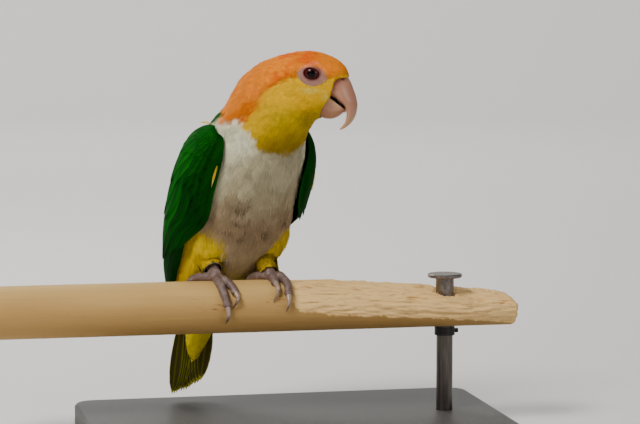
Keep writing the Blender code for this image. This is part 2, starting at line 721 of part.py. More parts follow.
def make_bird(bird_frame, head_frame, perch_frame):
    """The bird's parts, with the later ones cut clear of the earlier ones."""
    whole_head = make_head_parts(head_frame)
    neck = make_neck(bird_frame)
    boolean(neck, whole_head)
    trunk = make_trunk(bird_frame)
    wings = [make_wing("wing_right", -1, bird_frame), make_wing("wing_left", 1, bird_frame)]
    tail = loft("tail", section_rings(TAIL, *TAIL_MESH), bird_frame, material("green"))
    undertail = loft("undertail_coverts", section_rings(UNDERTAIL, *UNDERTAIL_MESH), bird_frame,
                     material("yellow"))
    tail_room = grown(tail)
    for piece in (undertail, trunk, *wings):
        boolean(piece, tail_room)
    boolean(trunk, grown(undertail))
    thighs, feet, ring = make_legs(bird_frame, perch_frame)
    for (thigh, whole_thigh), wing in zip(thighs, wings):
        boolean(trunk, whole_thigh)
        boolean(thigh, grown(wing))
    room = ring_room(ring, perch_frame)
    boolean(thighs[0][0], room)
    boolean(trunk, room)
    for foot in feet:
        boolean(trunk, grown(foot))


def main():
    """Clear the scene and build the bird, its perch and the stand."""
    for obj in list(bpy.data.objects):
        bpy.data.objects.remove(obj)
    origin = Vector((BIRD_X, 0, PERCH_Z))
    bird_frame = frame("bird_frame", origin, BODY_TURN)
    head_frame = frame("head_frame", HEAD_CENTRE, HEAD_TURN, bird_frame)
    feet_frame = frame("feet_frame", origin, 0)
    perch_frame = frame("perch_frame", (0, 0, PERCH_Z), 0)
    make_perch(perch_frame)
    make_stand(perch_frame)
    make_bird(bird_frame, head_frame, feet_frame)


main()
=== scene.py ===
"""The looks of a white-bellied caique on a gnawed perch and a plain display stand.

Tables are in millimetres.  Row frame: the perch runs along X, the bird looks roughly along -Y and the
floor is z = 0.  Bird frame: turned by BODY_TURN about Z, its origin on the perch's axis between the feet,
+X the bird's left and -Y its front.  Head frame: turned HEAD_TURN further, with -Y along the bill.
"""
import math

import bmesh
import bpy
import numpy as np
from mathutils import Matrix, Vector, noise
from mathutils.bvhtree import BVHTree
from mathutils.kdtree import KDTree


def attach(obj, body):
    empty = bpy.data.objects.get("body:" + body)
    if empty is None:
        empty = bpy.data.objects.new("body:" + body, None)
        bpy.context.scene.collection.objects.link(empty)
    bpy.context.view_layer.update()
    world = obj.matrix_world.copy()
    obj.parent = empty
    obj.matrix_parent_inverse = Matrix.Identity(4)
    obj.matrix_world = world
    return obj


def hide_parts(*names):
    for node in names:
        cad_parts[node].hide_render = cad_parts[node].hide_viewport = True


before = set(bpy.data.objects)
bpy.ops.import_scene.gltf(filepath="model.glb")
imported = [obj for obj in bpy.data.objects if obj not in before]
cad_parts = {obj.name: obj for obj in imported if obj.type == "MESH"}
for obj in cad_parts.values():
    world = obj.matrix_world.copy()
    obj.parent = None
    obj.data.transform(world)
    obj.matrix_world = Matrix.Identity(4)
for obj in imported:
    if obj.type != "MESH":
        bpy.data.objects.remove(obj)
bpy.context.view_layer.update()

MM = 0.001
RNG = np.random.default_rng(7)

# Places and turns
PERCH_Z = 76.0
PERCH_RADIUS = 15.0
PERCH_LENGTH = 320.0
ROD_X = 119.0
BODY_TURN = 16.0
HEAD_TURN = 50.0
BIRD_ORIGIN = np.array([4.0, 0.0, PERCH_Z])
HEAD_CENTRE = np.array([12.3, -29.2, 130.4])      # in the bird frame

# Sections across the bird from the tail's end to the bill: x, y, z in the bird frame, turn and forward lean
# in degrees, half width and half depth.  A place along them is a station: 0 the tail, 18 the bill's root.
TAIL = (
    (-6.4, 56.6, -10, 0, 19, 12.0, 2.8), (-7.2, 60.4, -24, 0, 12, 14.0, 2.4),
    (-8.2, 63.3, -38, 0, 10, 13.6, 1.7), (-9.0, 65.6, -50, 0, 10, 12.2, 1.3),
    (-9.6, 67.0, -58.5, 0, 10, 8.8, 0.8),
)
TRUNK = (
    (-6.0, 54.5, -13, 0, 20, 12.5, 6.5), (-5.2, 51, -4, 0, 24, 17.5, 10.5), (-3.8, 45.5, 6, 0, 27, 24, 16),
    (-2.2, 38.5, 18.5, 0, 28, 30, 22), (-0.5, 30, 35, 0, 29, 34.5, 27.5), (0, 21.5, 51, 0, 31, 36, 30),
    (0, 13, 66, 0, 33, 35.5, 31), (0, 3, 81, 0, 35, 34, 30.5), (0.5, -6.5, 93.5, 3, 36, 30.5, 28),
    (1.6, -14.5, 103.6, 9, 34, 26, 25.5),
)
NECK_MIDDLE = (3.8, -21.3, 114.2, 24, 24, 21.5, 26.5)
# Sections across the head: distance ahead of its centre, height over it, lean, half width, half depth
HEAD_SPINE = (
    (-9, -9, 40, 17, 24), (-5.5, -4.5, 55, 17, 21), (0, -2.5, 70, 16.8, 19.5), (8, -2.5, 82, 16.6, 19.5),
    (20, -2, 90, 14, 17), (31, 0, 90, 6, 8),
)

# Folded wings: height, front edge of the right and the left one and rear edge, in degrees round the body
# from its front, and thickness
WING = (
    (101.5, 86, 84, 99, 0.9), (99, 74, 72, 109, 2.6), (94, 65, 57, 120, 4.0), (86, 59, 47, 135, 4.4),
    (74, 54, 47, 150, 4.1), (60, 50, 57, 160, 3.7), (48, 60, 78, 165, 3.4), (37, 64, 92, 170, 3.0),
    (24, 70, 97, 172, 2.5), (10, 80, 99, 172, 2.6), (-3, 92, 102, 168, 3.0), (-14, 108, 110, 160, 2.0),
    (-21, 124, 124, 148, 1.0),
)
UNDER_WING = 0.3          # between the body and a wing's surface at its edges
TAIL_SHEET = 24.0         # width of the sheet that the tail feathers lie on

FLESH = ("trunk", "neck", "head", "thigh_left", "thigh_right", "undertail_coverts")
OVERLAP = 0.7             # how far the flesh pieces are grown to melt together
SKIN_VOXEL = 1.0
SKIN_ROUNDS = 6           # of softening after the pieces are melted together

# The right and the left thigh, downwards: x, y, z and radius
THIGHS = (
    ((-22.5, 21, 55, 5.0), (-22, 19, 49, 9.5), (-21.2, 16, 40, 11.0), (-19.8, 15.2, 31, 9.8),
     (-18.4, 15.6, 24.6, 6.2)),
    ((23.8, 18, 54, 5.0), (23, 17, 48, 9.5), (21.8, 15, 39, 11.0), (18.6, 13, 30.5, 9.6),
     (15.2, 10.6, 24.4, 6.4)),
)

# The coat: stations where its regions meet, and how its feathers are made
HEAD_STATION = 12.6
NECK_STATION = 10.7
BREAST_STATION = 7.8
VENT_STATION = 4.0
TAIL_STATION = 2.6
TRIES = 5                 # scattered places for each that can be kept
FEATHER_STEPS = 4         # places where a feather's way over the skin is worked out
ROOT_DEPTH = 0.25         # of a feather's root under the skin
TINT = 0.07               # how unevenly the feathers are coloured

EYE_AHEAD = 13.4
EYE_ASIDE = 10.6
EYE_UP = 3.6
LID_CENTRE = (14.4, 2.2)      # of the bare skin round the eye, ahead and up
LID_HALF_LENGTH = 8.0
LID_HALF_HEIGHT = 5.2
LID_POWER = 1.6               # of the curve round the bare skin: 2 is an ellipse, 1 a rhombus
LID_TILT = -13.0              # degrees; the front corner is the lower one


def srgb(red, green, blue):
    """A linear colour from the usual 0 to 255 one."""
    value = np.array([red, green, blue]) / 255.0
    return np.where(value <= 0.04045, value / 12.92, ((value + 0.055) / 1.055) ** 2.4)


# Plumage colours
CROWN = srgb(250, 146, 18)
CROWN_DEEP = srgb(246, 112, 4)
NAPE = srgb(232, 134, 34)
NECK_ORANGE = srgb(200, 104, 2)
EAR = srgb(178, 96, 1)
CHEEK = srgb(236, 186, 0)
THROAT = srgb(184, 152, 0)
THROAT_SHADE = srgb(146, 116, 0)
PALE_FACE = srgb(228, 206, 96)
BREAST_WHITE = srgb(218, 216, 186)
BREAST = srgb(178, 168, 136)
BELLY = srgb(146, 122, 92)
LOW_BELLY_YELLOW_AND_LIGHT = srgb(234, 226, 90)
BELLY_PAINTED_LIGHT = srgb(163, 141, 108)
FLANK = srgb(214, 182, 0)
THIGH = srgb(210, 178, 0)
VENT = srgb(240, 218, 0)
MANTLE = srgb(12, 74, 8)
WING_BRIGHT = srgb(4, 102, 3)
WING_GREEN = srgb(2, 66, 3)
WING_DEEP = srgb(1, 32, 3)
QUILL_DARK = srgb(1, 22, 4)
TAIL_UNDER = srgb(80, 73, 38)
TAIL_EDGE = srgb(160, 166, 22)
TAIL_TIP = srgb(220, 212, 74)
GAP_SHADE = srgb(74, 56, 38)


def turned(degrees):
    """The rotation about Z as a 3 x 3 array."""
    c, s = math.cos(math.radians(degrees)), math.sin(math.radians(degrees))
    return np.array([[c, -s, 0.0], [s, c, 0.0], [0.0, 0.0, 1.0]])


BODY_ROTATION = turned(BODY_TURN)
HEAD_ROTATION = turned(HEAD_TURN)


def to_bird(points):
    """Row frame metres to bird frame millimetres."""
    return (points / MM - BIRD_ORIGIN) @ BODY_ROTATION


def bird_to_row(points):
    """Bird frame millimetres to row frame metres."""
    return (points @ BODY_ROTATION.T + BIRD_ORIGIN) * MM


def to_head(points):
    """Bird frame points as distance ahead of the head's centre, to its left and up."""
    turned_points = (points - HEAD_CENTRE) @ HEAD_ROTATION
    return -turned_points[:, 1], turned_points[:, 0], turned_points[:, 2]


def head_to_bird(ahead, side, up):
    """The bird frame points of places given ahead, to the left and up in the head frame."""
    local = np.stack([np.asarray(side, float), -np.asarray(ahead, float), np.asarray(up, float)], axis=-1)
    return local @ HEAD_ROTATION.T + HEAD_CENTRE


def unit(vectors):
    """Vectors of length one."""
    return vectors / np.maximum(np.linalg.norm(vectors, axis=-1, keepdims=True), 1e-9)


def step(values, low, high):
    """A smooth rise from 0 at low to 1 at high."""
    t = np.clip((values - low) / (high - low), 0.0, 1.0)
    return t * t * (3.0 - 2.0 * t)


def fall(values, low, high):
    """A smooth fall from 1 at low to 0 at high."""
    return step(-values, -high, -low)


def mix(first, second, share):
    """Blend two colours by an array of shares."""
    return first + (second - first) * np.asarray(share)[..., None]


def read_off(value, pairs):
    """A value read off a line through pairs of place and height."""
    return np.interp(value, *zip(*pairs))


def smooth_rows(rows, count):
    """Rows read off a Catmull-Rom curve through the given ones."""
    table = np.array(rows, dtype=float)
    ends = np.vstack([2 * table[0] - table[1], table, 2 * table[-1] - table[-2]])
    places = np.linspace(0, len(table) - 1, count)
    first = np.minimum(places.astype(int), len(table) - 2)
    t = (places - first)[:, None]
    a, b, c, d = ends[first], ends[first + 1], ends[first + 2], ends[first + 3]
    cubic = (3 * b - a - 3 * c + d) * t ** 3
    return 0.5 * (2 * b + (c - a) * t + (2 * a - 5 * b + 4 * c - d) * t * t + cubic)


def head_section(ahead, up, lean, half_width, half_depth):
    """A section of the head as a row like the trunk's."""
    x, y, z = head_to_bird([ahead], [0.0], [up])[0]
    return (x, y, z, HEAD_TURN, lean, half_width, half_depth)


SPINE = (TAIL[2], TAIL[1], *TRUNK, NECK_MIDDLE, *(head_section(*row) for row in HEAD_SPINE))
STATIONS_PER_ROW = 16
SPINE_ROWS = smooth_rows(SPINE, (len(SPINE) - 1) * STATIONS_PER_ROW + 1)
BODY_ROWS = smooth_rows((TAIL[2], TAIL[1], *TRUNK, NECK_MIDDLE), 240)
WING_ROWS = np.array(WING)


def section_axes(rows):
    """Sideways, forward and tailward unit vectors of sections."""
    turn, lean = np.radians(rows[..., 3]), np.radians(rows[..., 4])
    zero = np.zeros_like(turn)
    side = np.stack([np.cos(turn), np.sin(turn), zero], axis=-1)
    front = np.stack([np.sin(turn) * np.cos(lean), -np.cos(turn) * np.cos(lean), -np.sin(lean)], axis=-1)
    return side, front, np.cross(side, front)


def section_points(rows, degrees, outward):
    """Points on sections' ellipses at angles round the body from its front towards its left."""
    side, front, _ = section_axes(rows)
    angle = np.radians(degrees)
    across = (rows[..., 5] + outward) * np.sin(angle)
    deep = (rows[..., 6] + outward) * np.cos(angle)
    return rows[..., :3] + side * across[..., None] + front * deep[..., None]


def body_places(points):
    """Station along the bird, angle round it in degrees, and tailward direction, for bird frame points."""
    side, front, tailward = section_axes(SPINE_ROWS)
    station = np.empty(len(points))
    angle = np.empty(len(points))
    direction = np.empty((len(points), 3))
    for start in range(0, len(points), 20000):
        block = slice(start, start + 20000)
        away = points[block, None, :] - SPINE_ROWS[None, :, :3]
        off_plane = np.abs(np.einsum("nkj,kj->nk", away, tailward))
        best = np.argmin(off_plane + 0.15 * np.linalg.norm(away, axis=2), axis=1)
        nearest = away[np.arange(len(best)), best]
        station[block] = best / STATIONS_PER_ROW
        angle[block] = np.degrees(np.arctan2((nearest * side[best]).sum(1), (nearest * front[best]).sum(1)))
        direction[block] = tailward[best]
    return station, angle, direction


def field(points, scale, seed):
    """Smooth pseudo-random values between about -1 and 1 at bird frame points."""
    offset = Vector((seed * 17.3, seed * -9.1, seed * 5.7))
    return np.array([noise.noise(Vector(point) * scale + offset) for point in points]) * 1.6


def near_axis(points, stations):
    """Distance outside a tapering tube, and its direction, for bird frame points."""
    rows = smooth_rows(stations, 24)
    away = points[:, None, :] - rows[None, :, :3]
    outside = np.linalg.norm(away, axis=2) - rows[None, :, 3]
    best = np.argmin(outside, axis=1)
    along = unit(np.gradient(rows[:, :3], axis=0))
    return outside[np.arange(len(best)), best], along[best]


def orange_line(ahead):
    """Height over the head's centre above which the side of the face is orange."""
    return read_off(ahead, (
        (-30, -31), (-26.6, -28.2), (-23.6, -25.4), (-19.5, -20.9), (-16.9, -13.7), (-13.5, -7.2),
        (-7.9, -4.4), (-0.4, 0.1), (7.3, 2.3), (14, 2.0), (21.4, 0.5), (27, 1.0), (33, 2.0),
    ))


def head_markings(points):
    """Colours of the head: orange cap, peach nape, yellow cheeks and pale patches under the eye."""
    ahead, _, up = to_head(points)
    soft, fine = field(points, 0.16, 1), field(points, 0.45, 2)
    deep = step(soft + 0.3 * fine, -0.3, 0.5) * step(ahead, -16, -4) * fall(ahead, 8, 20)
    cap = mix(CROWN, CROWN_DEEP, deep)
    cap = mix(cap, NAPE, step(-ahead + 2.5 * soft, 9, 20) * 0.85)
    cap = mix(cap, EAR, step(-(up - orange_line(ahead)), -5.5, 0) * 0.7)
    yellow = mix(CHEEK, THROAT, step(-up + 2.0 * soft, 12, 21))
    pale = np.exp(-((ahead - 13.0) / 4.2) ** 2 - ((up + 5.6) / 1.5) ** 2)
    pale += 0.7 * np.exp(-((ahead - 21.0) / 2.0) ** 2 - ((up + 9.0) / 2.6) ** 2)
    yellow = mix(yellow, PALE_FACE, np.clip(pale + 0.3 * fine * pale, 0, 0.75))
    above = up - orange_line(ahead) + 1.5 * soft + 0.8 * fine
    return mix(yellow, cap, step(above, -1.6, 1.6))


def belly_markings(points, station, angle, soft, fine):
    """Colours of the underside: white breast, a browner belly that is partly stained and partly painted
    shade, dark gaps painted as shade, a paler lower belly painted as light, yellow flanks and vent.
    """
    aside = np.abs(angle)
    # the browner belly is partly real staining and partly painted shade
    belly = mix(BELLY, BREAST, step(station + 0.35 * soft, 7.2, 9.8))
    white = step(station + 0.024 * (aside - 40) + 0.2 * soft, 10.0, 11.0) * step(aside, 25, 60)
    belly = mix(belly, BREAST_WHITE, white)
    belly = mix(belly, BREAST_WHITE, 0.45 * step(aside, 38, 60) * step(station, 7.5, 9.5))
    # painted light: the lower belly is made paler to lift the shade between the legs
    belly = mix(BELLY_PAINTED_LIGHT, belly, step(station, 6.0, 7.6))
    # the low belly's own yellow, made paler and brighter as painted light between the legs
    belly = mix(LOW_BELLY_YELLOW_AND_LIGHT, belly, step(station, 4.6, 6.0))
    mottle = np.clip(0.12 * soft + 0.16 * fine, -0.24, 0.14)
    belly = belly * (1.0 + mottle)[:, None]
    # painted shade: dark gaps between the feathers, and one larger gap
    gap = step(field(points, 0.32, 6), 0.50, 0.72) * fall(aside, 34, 44)
    gap = gap * step(station, 6.6, 7.2) * fall(station, 8.3, 9.0)
    gap = np.maximum(gap, np.exp(-((station - 8.5) / 0.14) ** 2 - ((angle + 22) / 4.5) ** 2))
    belly = mix(belly, GAP_SHADE, 0.66 * gap)
    flank = step(aside - 3 * fine, 31, 39) * step(-station + 0.08 * fine, -7.1, -6.7)
    belly = mix(belly, FLANK, flank)
    return mix(belly, VENT, fall(station, 3.6, 4.6))


def neck_markings(station, aside, soft, fine):
    """Colours of the neck: yellow throat and orange nape."""
    yellow = mix(THROAT, THROAT_SHADE, fall(station, 11.0, 12.0) * fall(aside, 20, 60))
    yellow = mix(yellow, CHEEK, 0.55 * step(aside, 30, 70))
    nape = mix(NECK_ORANGE, NAPE, step(aside + 8 * soft, 92, 118))
    above = station - 11.1
    return mix(yellow, nape, step(aside + 3 * soft + 4 * fine, 66 + 8.0 * above, 78 + 12.0 * above))


# Where the breast ends at the throat and nape: degrees round the body and station there
NECK_BORDER = (
    (0, 10.84), (33, 10.98), (61, 11.24), (76, 11.33), (89, 11.19), (96, 11.0), (103, 10.77), (120, 10.7),
)


def body_markings(points, station, angle):
    """Colours of neck and trunk: the neck, the underside and the green back."""
    aside = np.abs(angle)
    soft, fine = field(points, 0.12, 3), field(points, 0.4, 4)
    belly = belly_markings(points, station, angle, soft, fine)
    border = read_off(aside, NECK_BORDER) + 0.05 * soft + 0.07 * fine
    colour = mix(belly, neck_markings(station, aside, soft, fine), step(station - border, -0.06, 0.06))
    back = step(aside + 3 * fine, 112, 118) * step(-station + 0.07 * fine, -11.06, -10.94)
    return mix(colour, MANTLE * (1 + 0.25 * fine[:, None]), back)


def markings(points):
    """Plumage colours at bird frame points."""
    station, angle, _ = body_places(points)
    body = body_markings(points, station, angle)
    colour = mix(body, head_markings(points), step(station, 12.0, 12.9))
    for thigh in THIGHS:
        outside, _ = near_axis(points, thigh)
        yellow = fall(outside, -0.8, 1.2) * fall(station, 6.6, 7.2) * step(np.abs(angle), 16, 26)
        colour = mix(colour, THIGH, yellow)
    return np.clip(colour, 0.0, 1.0)


def lid_distance(points):
    """1 on the edge of the bare skin round the nearer eye, less inside it."""
    ahead, side, up = to_head(points)
    tilt = math.radians(LID_TILT)
    ahead, up = ahead - LID_CENTRE[0], up - LID_CENTRE[1]
    along = (ahead * math.cos(tilt) + up * math.sin(tilt)) / LID_HALF_LENGTH
    across = (up * math.cos(tilt) - ahead * math.sin(tilt)) / LID_HALF_HEIGHT
    return np.abs(along) ** LID_POWER + np.abs(across) ** LID_POWER + 9.0 * (np.abs(side) < 6)


def mesh_object(name, points, triangles, finish, colours, **maps):
    """A piece out of bird frame points, with a colour for each or for all, and UV maps given per point or per
    corner."""
    points, triangles, colours = (np.reshape(item, (-1, 3)) for item in (points, triangles, colours))
    colours = np.clip(np.broadcast_to(colours, points.shape), 0, 1)
    mesh = bpy.data.meshes.new(name)
    mesh.vertices.add(len(points))
    mesh.vertices.foreach_set("co", bird_to_row(points).ravel())
    mesh.loops.add(triangles.size)
    mesh.loops.foreach_set("vertex_index", triangles.ravel())
    mesh.polygons.add(len(triangles))
    mesh.polygons.foreach_set("loop_start", np.arange(0, triangles.size, 3))
    mesh.update(calc_edges=True)
    mesh.shade_smooth()
    layer = mesh.color_attributes.new("Plumage", "FLOAT_COLOR", "POINT")
    layer.data.foreach_set("color", np.hstack([colours, np.ones((len(colours), 1))]).ravel())
    for map_name, places in maps.items():
        places = np.reshape(places, (-1, 2))
        corners = places if len(places) == triangles.size else places[triangles.ravel()]
        mesh.uv_layers.new(name=map_name).data.foreach_set("uv", corners.ravel())
    mesh.materials.append(finish)
    made = bpy.data.objects.new(name, mesh)
    bpy.context.scene.collection.objects.link(made)
    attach(made, "root")
    return made


def turns(count):
    """Evenly spread angles round a full turn."""
    return np.linspace(0, math.tau, count, endpoint=False)


def grid_triangles(rows, columns, closed=True, flipped=False):
    """Triangles of a grid of points, joined round its columns if it is closed."""
    last = columns if closed else columns - 1
    i, j = np.meshgrid(np.arange(rows - 1), np.arange(last), indexing="ij")
    k = (j + 1) % columns
    a, b, c, d = i * columns + j, i * columns + k, (i + 1) * columns + k, (i + 1) * columns + j
    triangles = np.vstack([np.stack(corners, -1).reshape(-1, 3) for corners in ((a, b, c), (a, c, d))])
    return triangles[:, ::-1] if flipped else triangles


def two_sided(rows, columns):
    """Triangles of an open grid of points, and of a second one after it that faces the other way."""
    sheet = grid_triangles(rows, columns, closed=False)
    return np.vstack([sheet, sheet[:, ::-1] + rows * columns])


def cap_triangles(first, columns, middle, flipped=False):
    """Triangles between a ring of points and a middle one."""
    j = np.arange(columns)
    triangles = np.stack([np.full(columns, middle), first + (j + 1) % columns, first + j], axis=-1)
    return triangles[:, ::-1] if flipped else triangles


def capped_triangles(rows, columns):
    """Triangles of a closed grid and its two caps, round two more points that follow the grid's."""
    size = rows * columns
    start = cap_triangles(0, columns, size)
    end = cap_triangles(size - columns, columns, size + 1, flipped=True)
    return np.vstack([grid_triangles(rows, columns), start, end])


def connect(made, node, inputs):
    """Give a node's inputs, by name or number, values or other nodes' outputs."""
    for name, value in inputs.items():
        if isinstance(value, bpy.types.NodeSocket):
            made.node_tree.links.new(value, node.inputs[name])
        else:
            node.inputs[name].default_value = value


def add_node(made, kind, inputs=(), **settings):
    """The outputs of a new node of a material."""
    node = made.node_tree.nodes.new("ShaderNode" + kind)
    for name, value in settings.items():
        setattr(node, name, value)
    connect(made, node, dict(inputs))
    return node.outputs


def math_output(made, operation, *values):
    """The outcome of one step of arithmetic in a material."""
    return add_node(made, "Math", dict(enumerate(values)), operation=operation)["Value"]


def shade(made, **inputs):
    """Set inputs of a material's shader, named with _ for a space."""
    shader = made.node_tree.nodes["Principled BSDF"]
    connect(made, shader, {name.replace("_", " "): value for name, value in inputs.items()})


def new_material(name, **inputs):
    """A material with the given inputs of its shader."""
    made = bpy.data.materials.new(name)
    made.use_nodes = True
    shade(made, **inputs)
    return made


def object_noise(made, scale, detail, stretch=None):
    """Noise fixed to the object, finer along some axes if it is stretched."""
    place = add_node(made, "TexCoord")["Object"]
    if stretch:
        place = add_node(made, "Mapping", {"Vector": place, "Scale": stretch})["Vector"]
    return add_node(made, "TexNoise", {"Vector": place, "Scale": scale, "Detail": detail})["Fac"]


def add_relief(made, height, strength, distance=0.0003):
    """Fine relief on a material, read from a height."""
    relief = {"Height": height, "Strength": strength, "Distance": distance}
    shade(made, Normal=add_node(made, "Bump", relief)["Normal"])


def add_ramp(made, value, *stops):
    """A material's colour read from a value, between two stops of place and colour."""
    tone = add_node(made, "ValToRGB", {"Fac": value})["Color"]
    for element, (place, colour) in zip(tone.node.color_ramp.elements, stops):
        element.position = place
        element.color = (*colour, 1)
    shade(made, Base_Color=tone)


def plumage_material(name, roughness=0.7, grain=0.12, specular=0.05):
    """Feathers: the mesh's own colours with a fine uneven grain."""
    made = new_material(name, Roughness=roughness, Specular_IOR_Level=specular)
    spread = {"Value": object_noise(made, 900, 2), "To Min": 1 - grain, "To Max": 1 + grain}
    level = add_node(made, "MapRange", spread)["Result"]
    colour = add_node(made, "Attribute", attribute_name="Plumage")["Color"]
    grained = add_node(made, "VectorMath", {0: colour, "Scale": level}, operation="SCALE")["Vector"]
    shade(made, Base_Color=grained)
    return made


def coat_depth(station, thigh_share):
    """How far the skin lies inside the solids, in millimetres."""
    depth = read_off(station, (
        (0, 0.5), (2, 0.7), (4, 1.5), (6, 2.2), (9, 2.0), (11, 1.6), (12.5, 1.2), (14, 0.9), (16, 0.7),
        (18, 0.3),
    ))
    return depth * (1 - thigh_share) + 1.6 * thigh_share


def remeshed(mesh, voxel, rounds):
    """Bird frame points, outward directions and triangles of a mesh melted into one smooth closed one."""
    carrier = bpy.data.objects.new("melting", mesh)
    bpy.context.scene.collection.objects.link(carrier)
    melt = carrier.modifiers.new("melt", "REMESH")
    melt.mode = "VOXEL"
    melt.voxel_size = voxel * MM
    carrier.modifiers.new("soften", "SMOOTH").iterations = rounds
    melted = bpy.data.meshes.new_from_object(carrier.evaluated_get(bpy.context.evaluated_depsgraph_get()))
    bpy.data.objects.remove(carrier)
    melted.calc_loop_triangles()
    points, normals = np.empty(len(melted.vertices) * 3), np.empty(len(melted.vertices) * 3)
    triangles = np.empty(len(melted.loop_triangles) * 3, dtype=np.int32)
    melted.vertices.foreach_get("co", points)
    melted.vertices.foreach_get("normal", normals)
    melted.loop_triangles.foreach_get("vertices", triangles)
    bpy.data.meshes.remove(melted)
    return to_bird(points.reshape(-1, 3)), normals.reshape(-1, 3) @ BODY_ROTATION, triangles.reshape(-1, 3)


def grown_flesh():
    """The flesh nodes in one mesh, each grown a little so that they meet."""
    joined = bmesh.new()
    for name in FLESH:
        piece = bmesh.new()
        piece.from_mesh(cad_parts[name].data)
        bmesh.ops.remove_doubles(piece, verts=piece.verts, dist=1e-6)
        piece.normal_update()
        for vert in piece.verts:
            vert.co += vert.normal * (OVERLAP * MM)
        grown = bpy.data.meshes.new("grown")
        piece.to_mesh(grown)
        piece.free()
        joined.from_mesh(grown)
        bpy.data.meshes.remove(grown)
    mesh = bpy.data.meshes.new("flesh")
    joined.to_mesh(mesh)
    joined.free()
    return mesh


class Skin:
    """The bird's skin in the bird frame, with what the feathers need to know about it."""

    def __init__(self):
        points, self.normals, self.triangles = remeshed(grown_flesh(), SKIN_VOXEL, SKIN_ROUNDS)
        station, _, _ = body_places(points)
        depth = coat_depth(station, thigh_share(points))
        self.points = points - self.normals * (OVERLAP + depth)[:, None]
        self.station, self.angle, _ = body_places(self.points)
        self.tree = BVHTree.FromPolygons(self.points.tolist(), self.triangles.tolist())

    def nearest(self, points):
        """The nearest skin points and their outward directions."""
        found = [self.tree.find_nearest(Vector(point)) for point in points]
        places = np.array([place for place, _, _, _ in found])
        outward = self.normals[self.triangles[[index for _, _, index, _ in found]]].mean(axis=1)
        return places, unit(outward)

    def flow(self, points, normals):
        """Which way the coat lies at skin points."""
        _, _, direction = body_places(points)
        for thigh in THIGHS:
            outside, along = near_axis(points, thigh)
            share = fall(outside, -1.5, 1.5) * fall(points[:, 2], 40, 50)
            direction = mix(direction, along, share)
        across = (direction * normals).sum(axis=1, keepdims=True)
        return unit(direction - across * normals)


def thigh_share(points):
    """1 on the thighs and 0 away from them."""
    shares = [step(-near_axis(points, thigh)[0], -1.8, 0.6) for thigh in THIGHS]
    return np.maximum(*shares) * fall(points[:, 2], 42, 50)


def wing_cover(station, angle):
    """How many degrees a place on the body lies inside the edges of the folded wing over it."""
    heights = np.interp(station, np.linspace(0, 12, len(BODY_ROWS)), BODY_ROWS[:, 2])
    levels, *edges, _ = WING_ROWS[::-1].T
    right, left, rear = (np.interp(heights, levels, edge) for edge in edges)
    aside = np.abs(angle)
    inside = np.minimum(aside - np.where(angle > 0, left, right), rear - aside)
    top = WING_ROWS[0, 0] - 5.5
    return np.where((heights > WING_ROWS[-1, 0]) & (heights < top) & (station < 11.2), inside, -99.0)


def scattered(skin, keep, spacing):
    """Evenly scattered points of the skin where it is kept, no two nearer than the spacing there."""
    corners = skin.points[skin.triangles]
    use = np.flatnonzero(keep)
    start, first, second = corners[:, 0], corners[:, 1] - corners[:, 0], corners[:, 2] - corners[:, 0]
    area = 0.5 * np.linalg.norm(np.cross(first[use], second[use]), axis=1)
    wanted = area / spacing[use] ** 2
    count = int(wanted.sum() * TRIES)
    picked = use[RNG.choice(len(use), size=count, p=wanted / wanted.sum())]
    a, b = RNG.random(count), RNG.random(count)
    flip = a + b > 1
    a[flip], b[flip] = 1 - a[flip], 1 - b[flip]
    points = start[picked] + first[picked] * a[:, None] + second[picked] * b[:, None]
    tree = KDTree(count)
    for i, point in enumerate(points):
        tree.insert(point, i)
    tree.balance()
    free = np.ones(count, dtype=bool)
    kept = []
    for i, gap in enumerate(spacing[picked]):
        if free[i]:
            kept.append(i)
            free[[j for _, j, _ in tree.find_range(points[i], gap)]] = False
    return points[kept]


def fan(blades, segments):
    """A feather's pattern, as slender blades that part towards its tip: points as blade number, share across
    and share along, and triangles."""
    points, triangles = [], []
    for blade in range(blades):
        s = 2 * blade / (blades - 1) - 1
        first = len(points)
        for i in range(segments):
            v = i / segments
            middle = s * math.sin(math.pi * (0.12 + 0.62 * v)) * min(1.0, 0.25 + 2.6 * v)
            half = 1.25 / blades * min(1.0, 0.5 + 2 * v) * (1 - v ** 2.5)
            along = v * (1 - 0.18 * s * s)
            points += [(blade, middle - half, along), (blade, middle + half, along)]
        points.append((blade, s * math.sin(math.pi * 0.74), 1 - 0.18 * s * s))
        for a in range(first, len(points) - 3, 2):
            triangles += [(a, a + 1, a + 3), (a, a + 3, a + 2)]
        triangles.append((len(points) - 3, len(points) - 2, len(points) - 1))
    return np.array(points), np.array(triangles)


def unwrapped(station, angle):
    """Where body places lie on a flat layout of the skin: round the body across it, along the body up it."""
    return np.stack([0.02 + 0.96 * (angle + 180) / 360, 0.02 + 0.96 * station / 18], axis=-1)


def feather_paths(skin, roots, length, mess):
    """Places, outward and sideways directions at even steps along feathers that lie as the coat flows."""
    stride = (length / (FEATHER_STEPS - 1))[:, None]
    swerve = np.radians(RNG.normal(0, 7 * mess, len(roots)))[:, None]
    place, heading = roots, np.zeros_like(roots)
    path = []
    for _ in range(FEATHER_STEPS):
        place, normal = skin.nearest(place + heading * stride)
        heading = skin.flow(place, normal)
        heading = heading * np.cos(swerve) + np.cross(heading, normal) * np.sin(swerve)
        path.append((place, normal, unit(np.cross(heading, normal))))
    return [np.stack(item, axis=1) for item in zip(*path)]


def feather_piece(name, points, colours, roots, pattern, triangles, finish):
    """A coat piece out of each feather's points and colours, laid out as the roots lie on the skin."""
    station, angle, _ = body_places(roots)
    spot = 0.003 * (pattern[:, 1:] * (0.5, 1) - (0, 0.5))
    layout = unwrapped(station, angle)[:, None] + spot
    triangles = triangles + (np.arange(len(roots)) * len(pattern))[:, None, None]
    mesh_object(name, points, triangles, finish, colours, OFBake=layout)


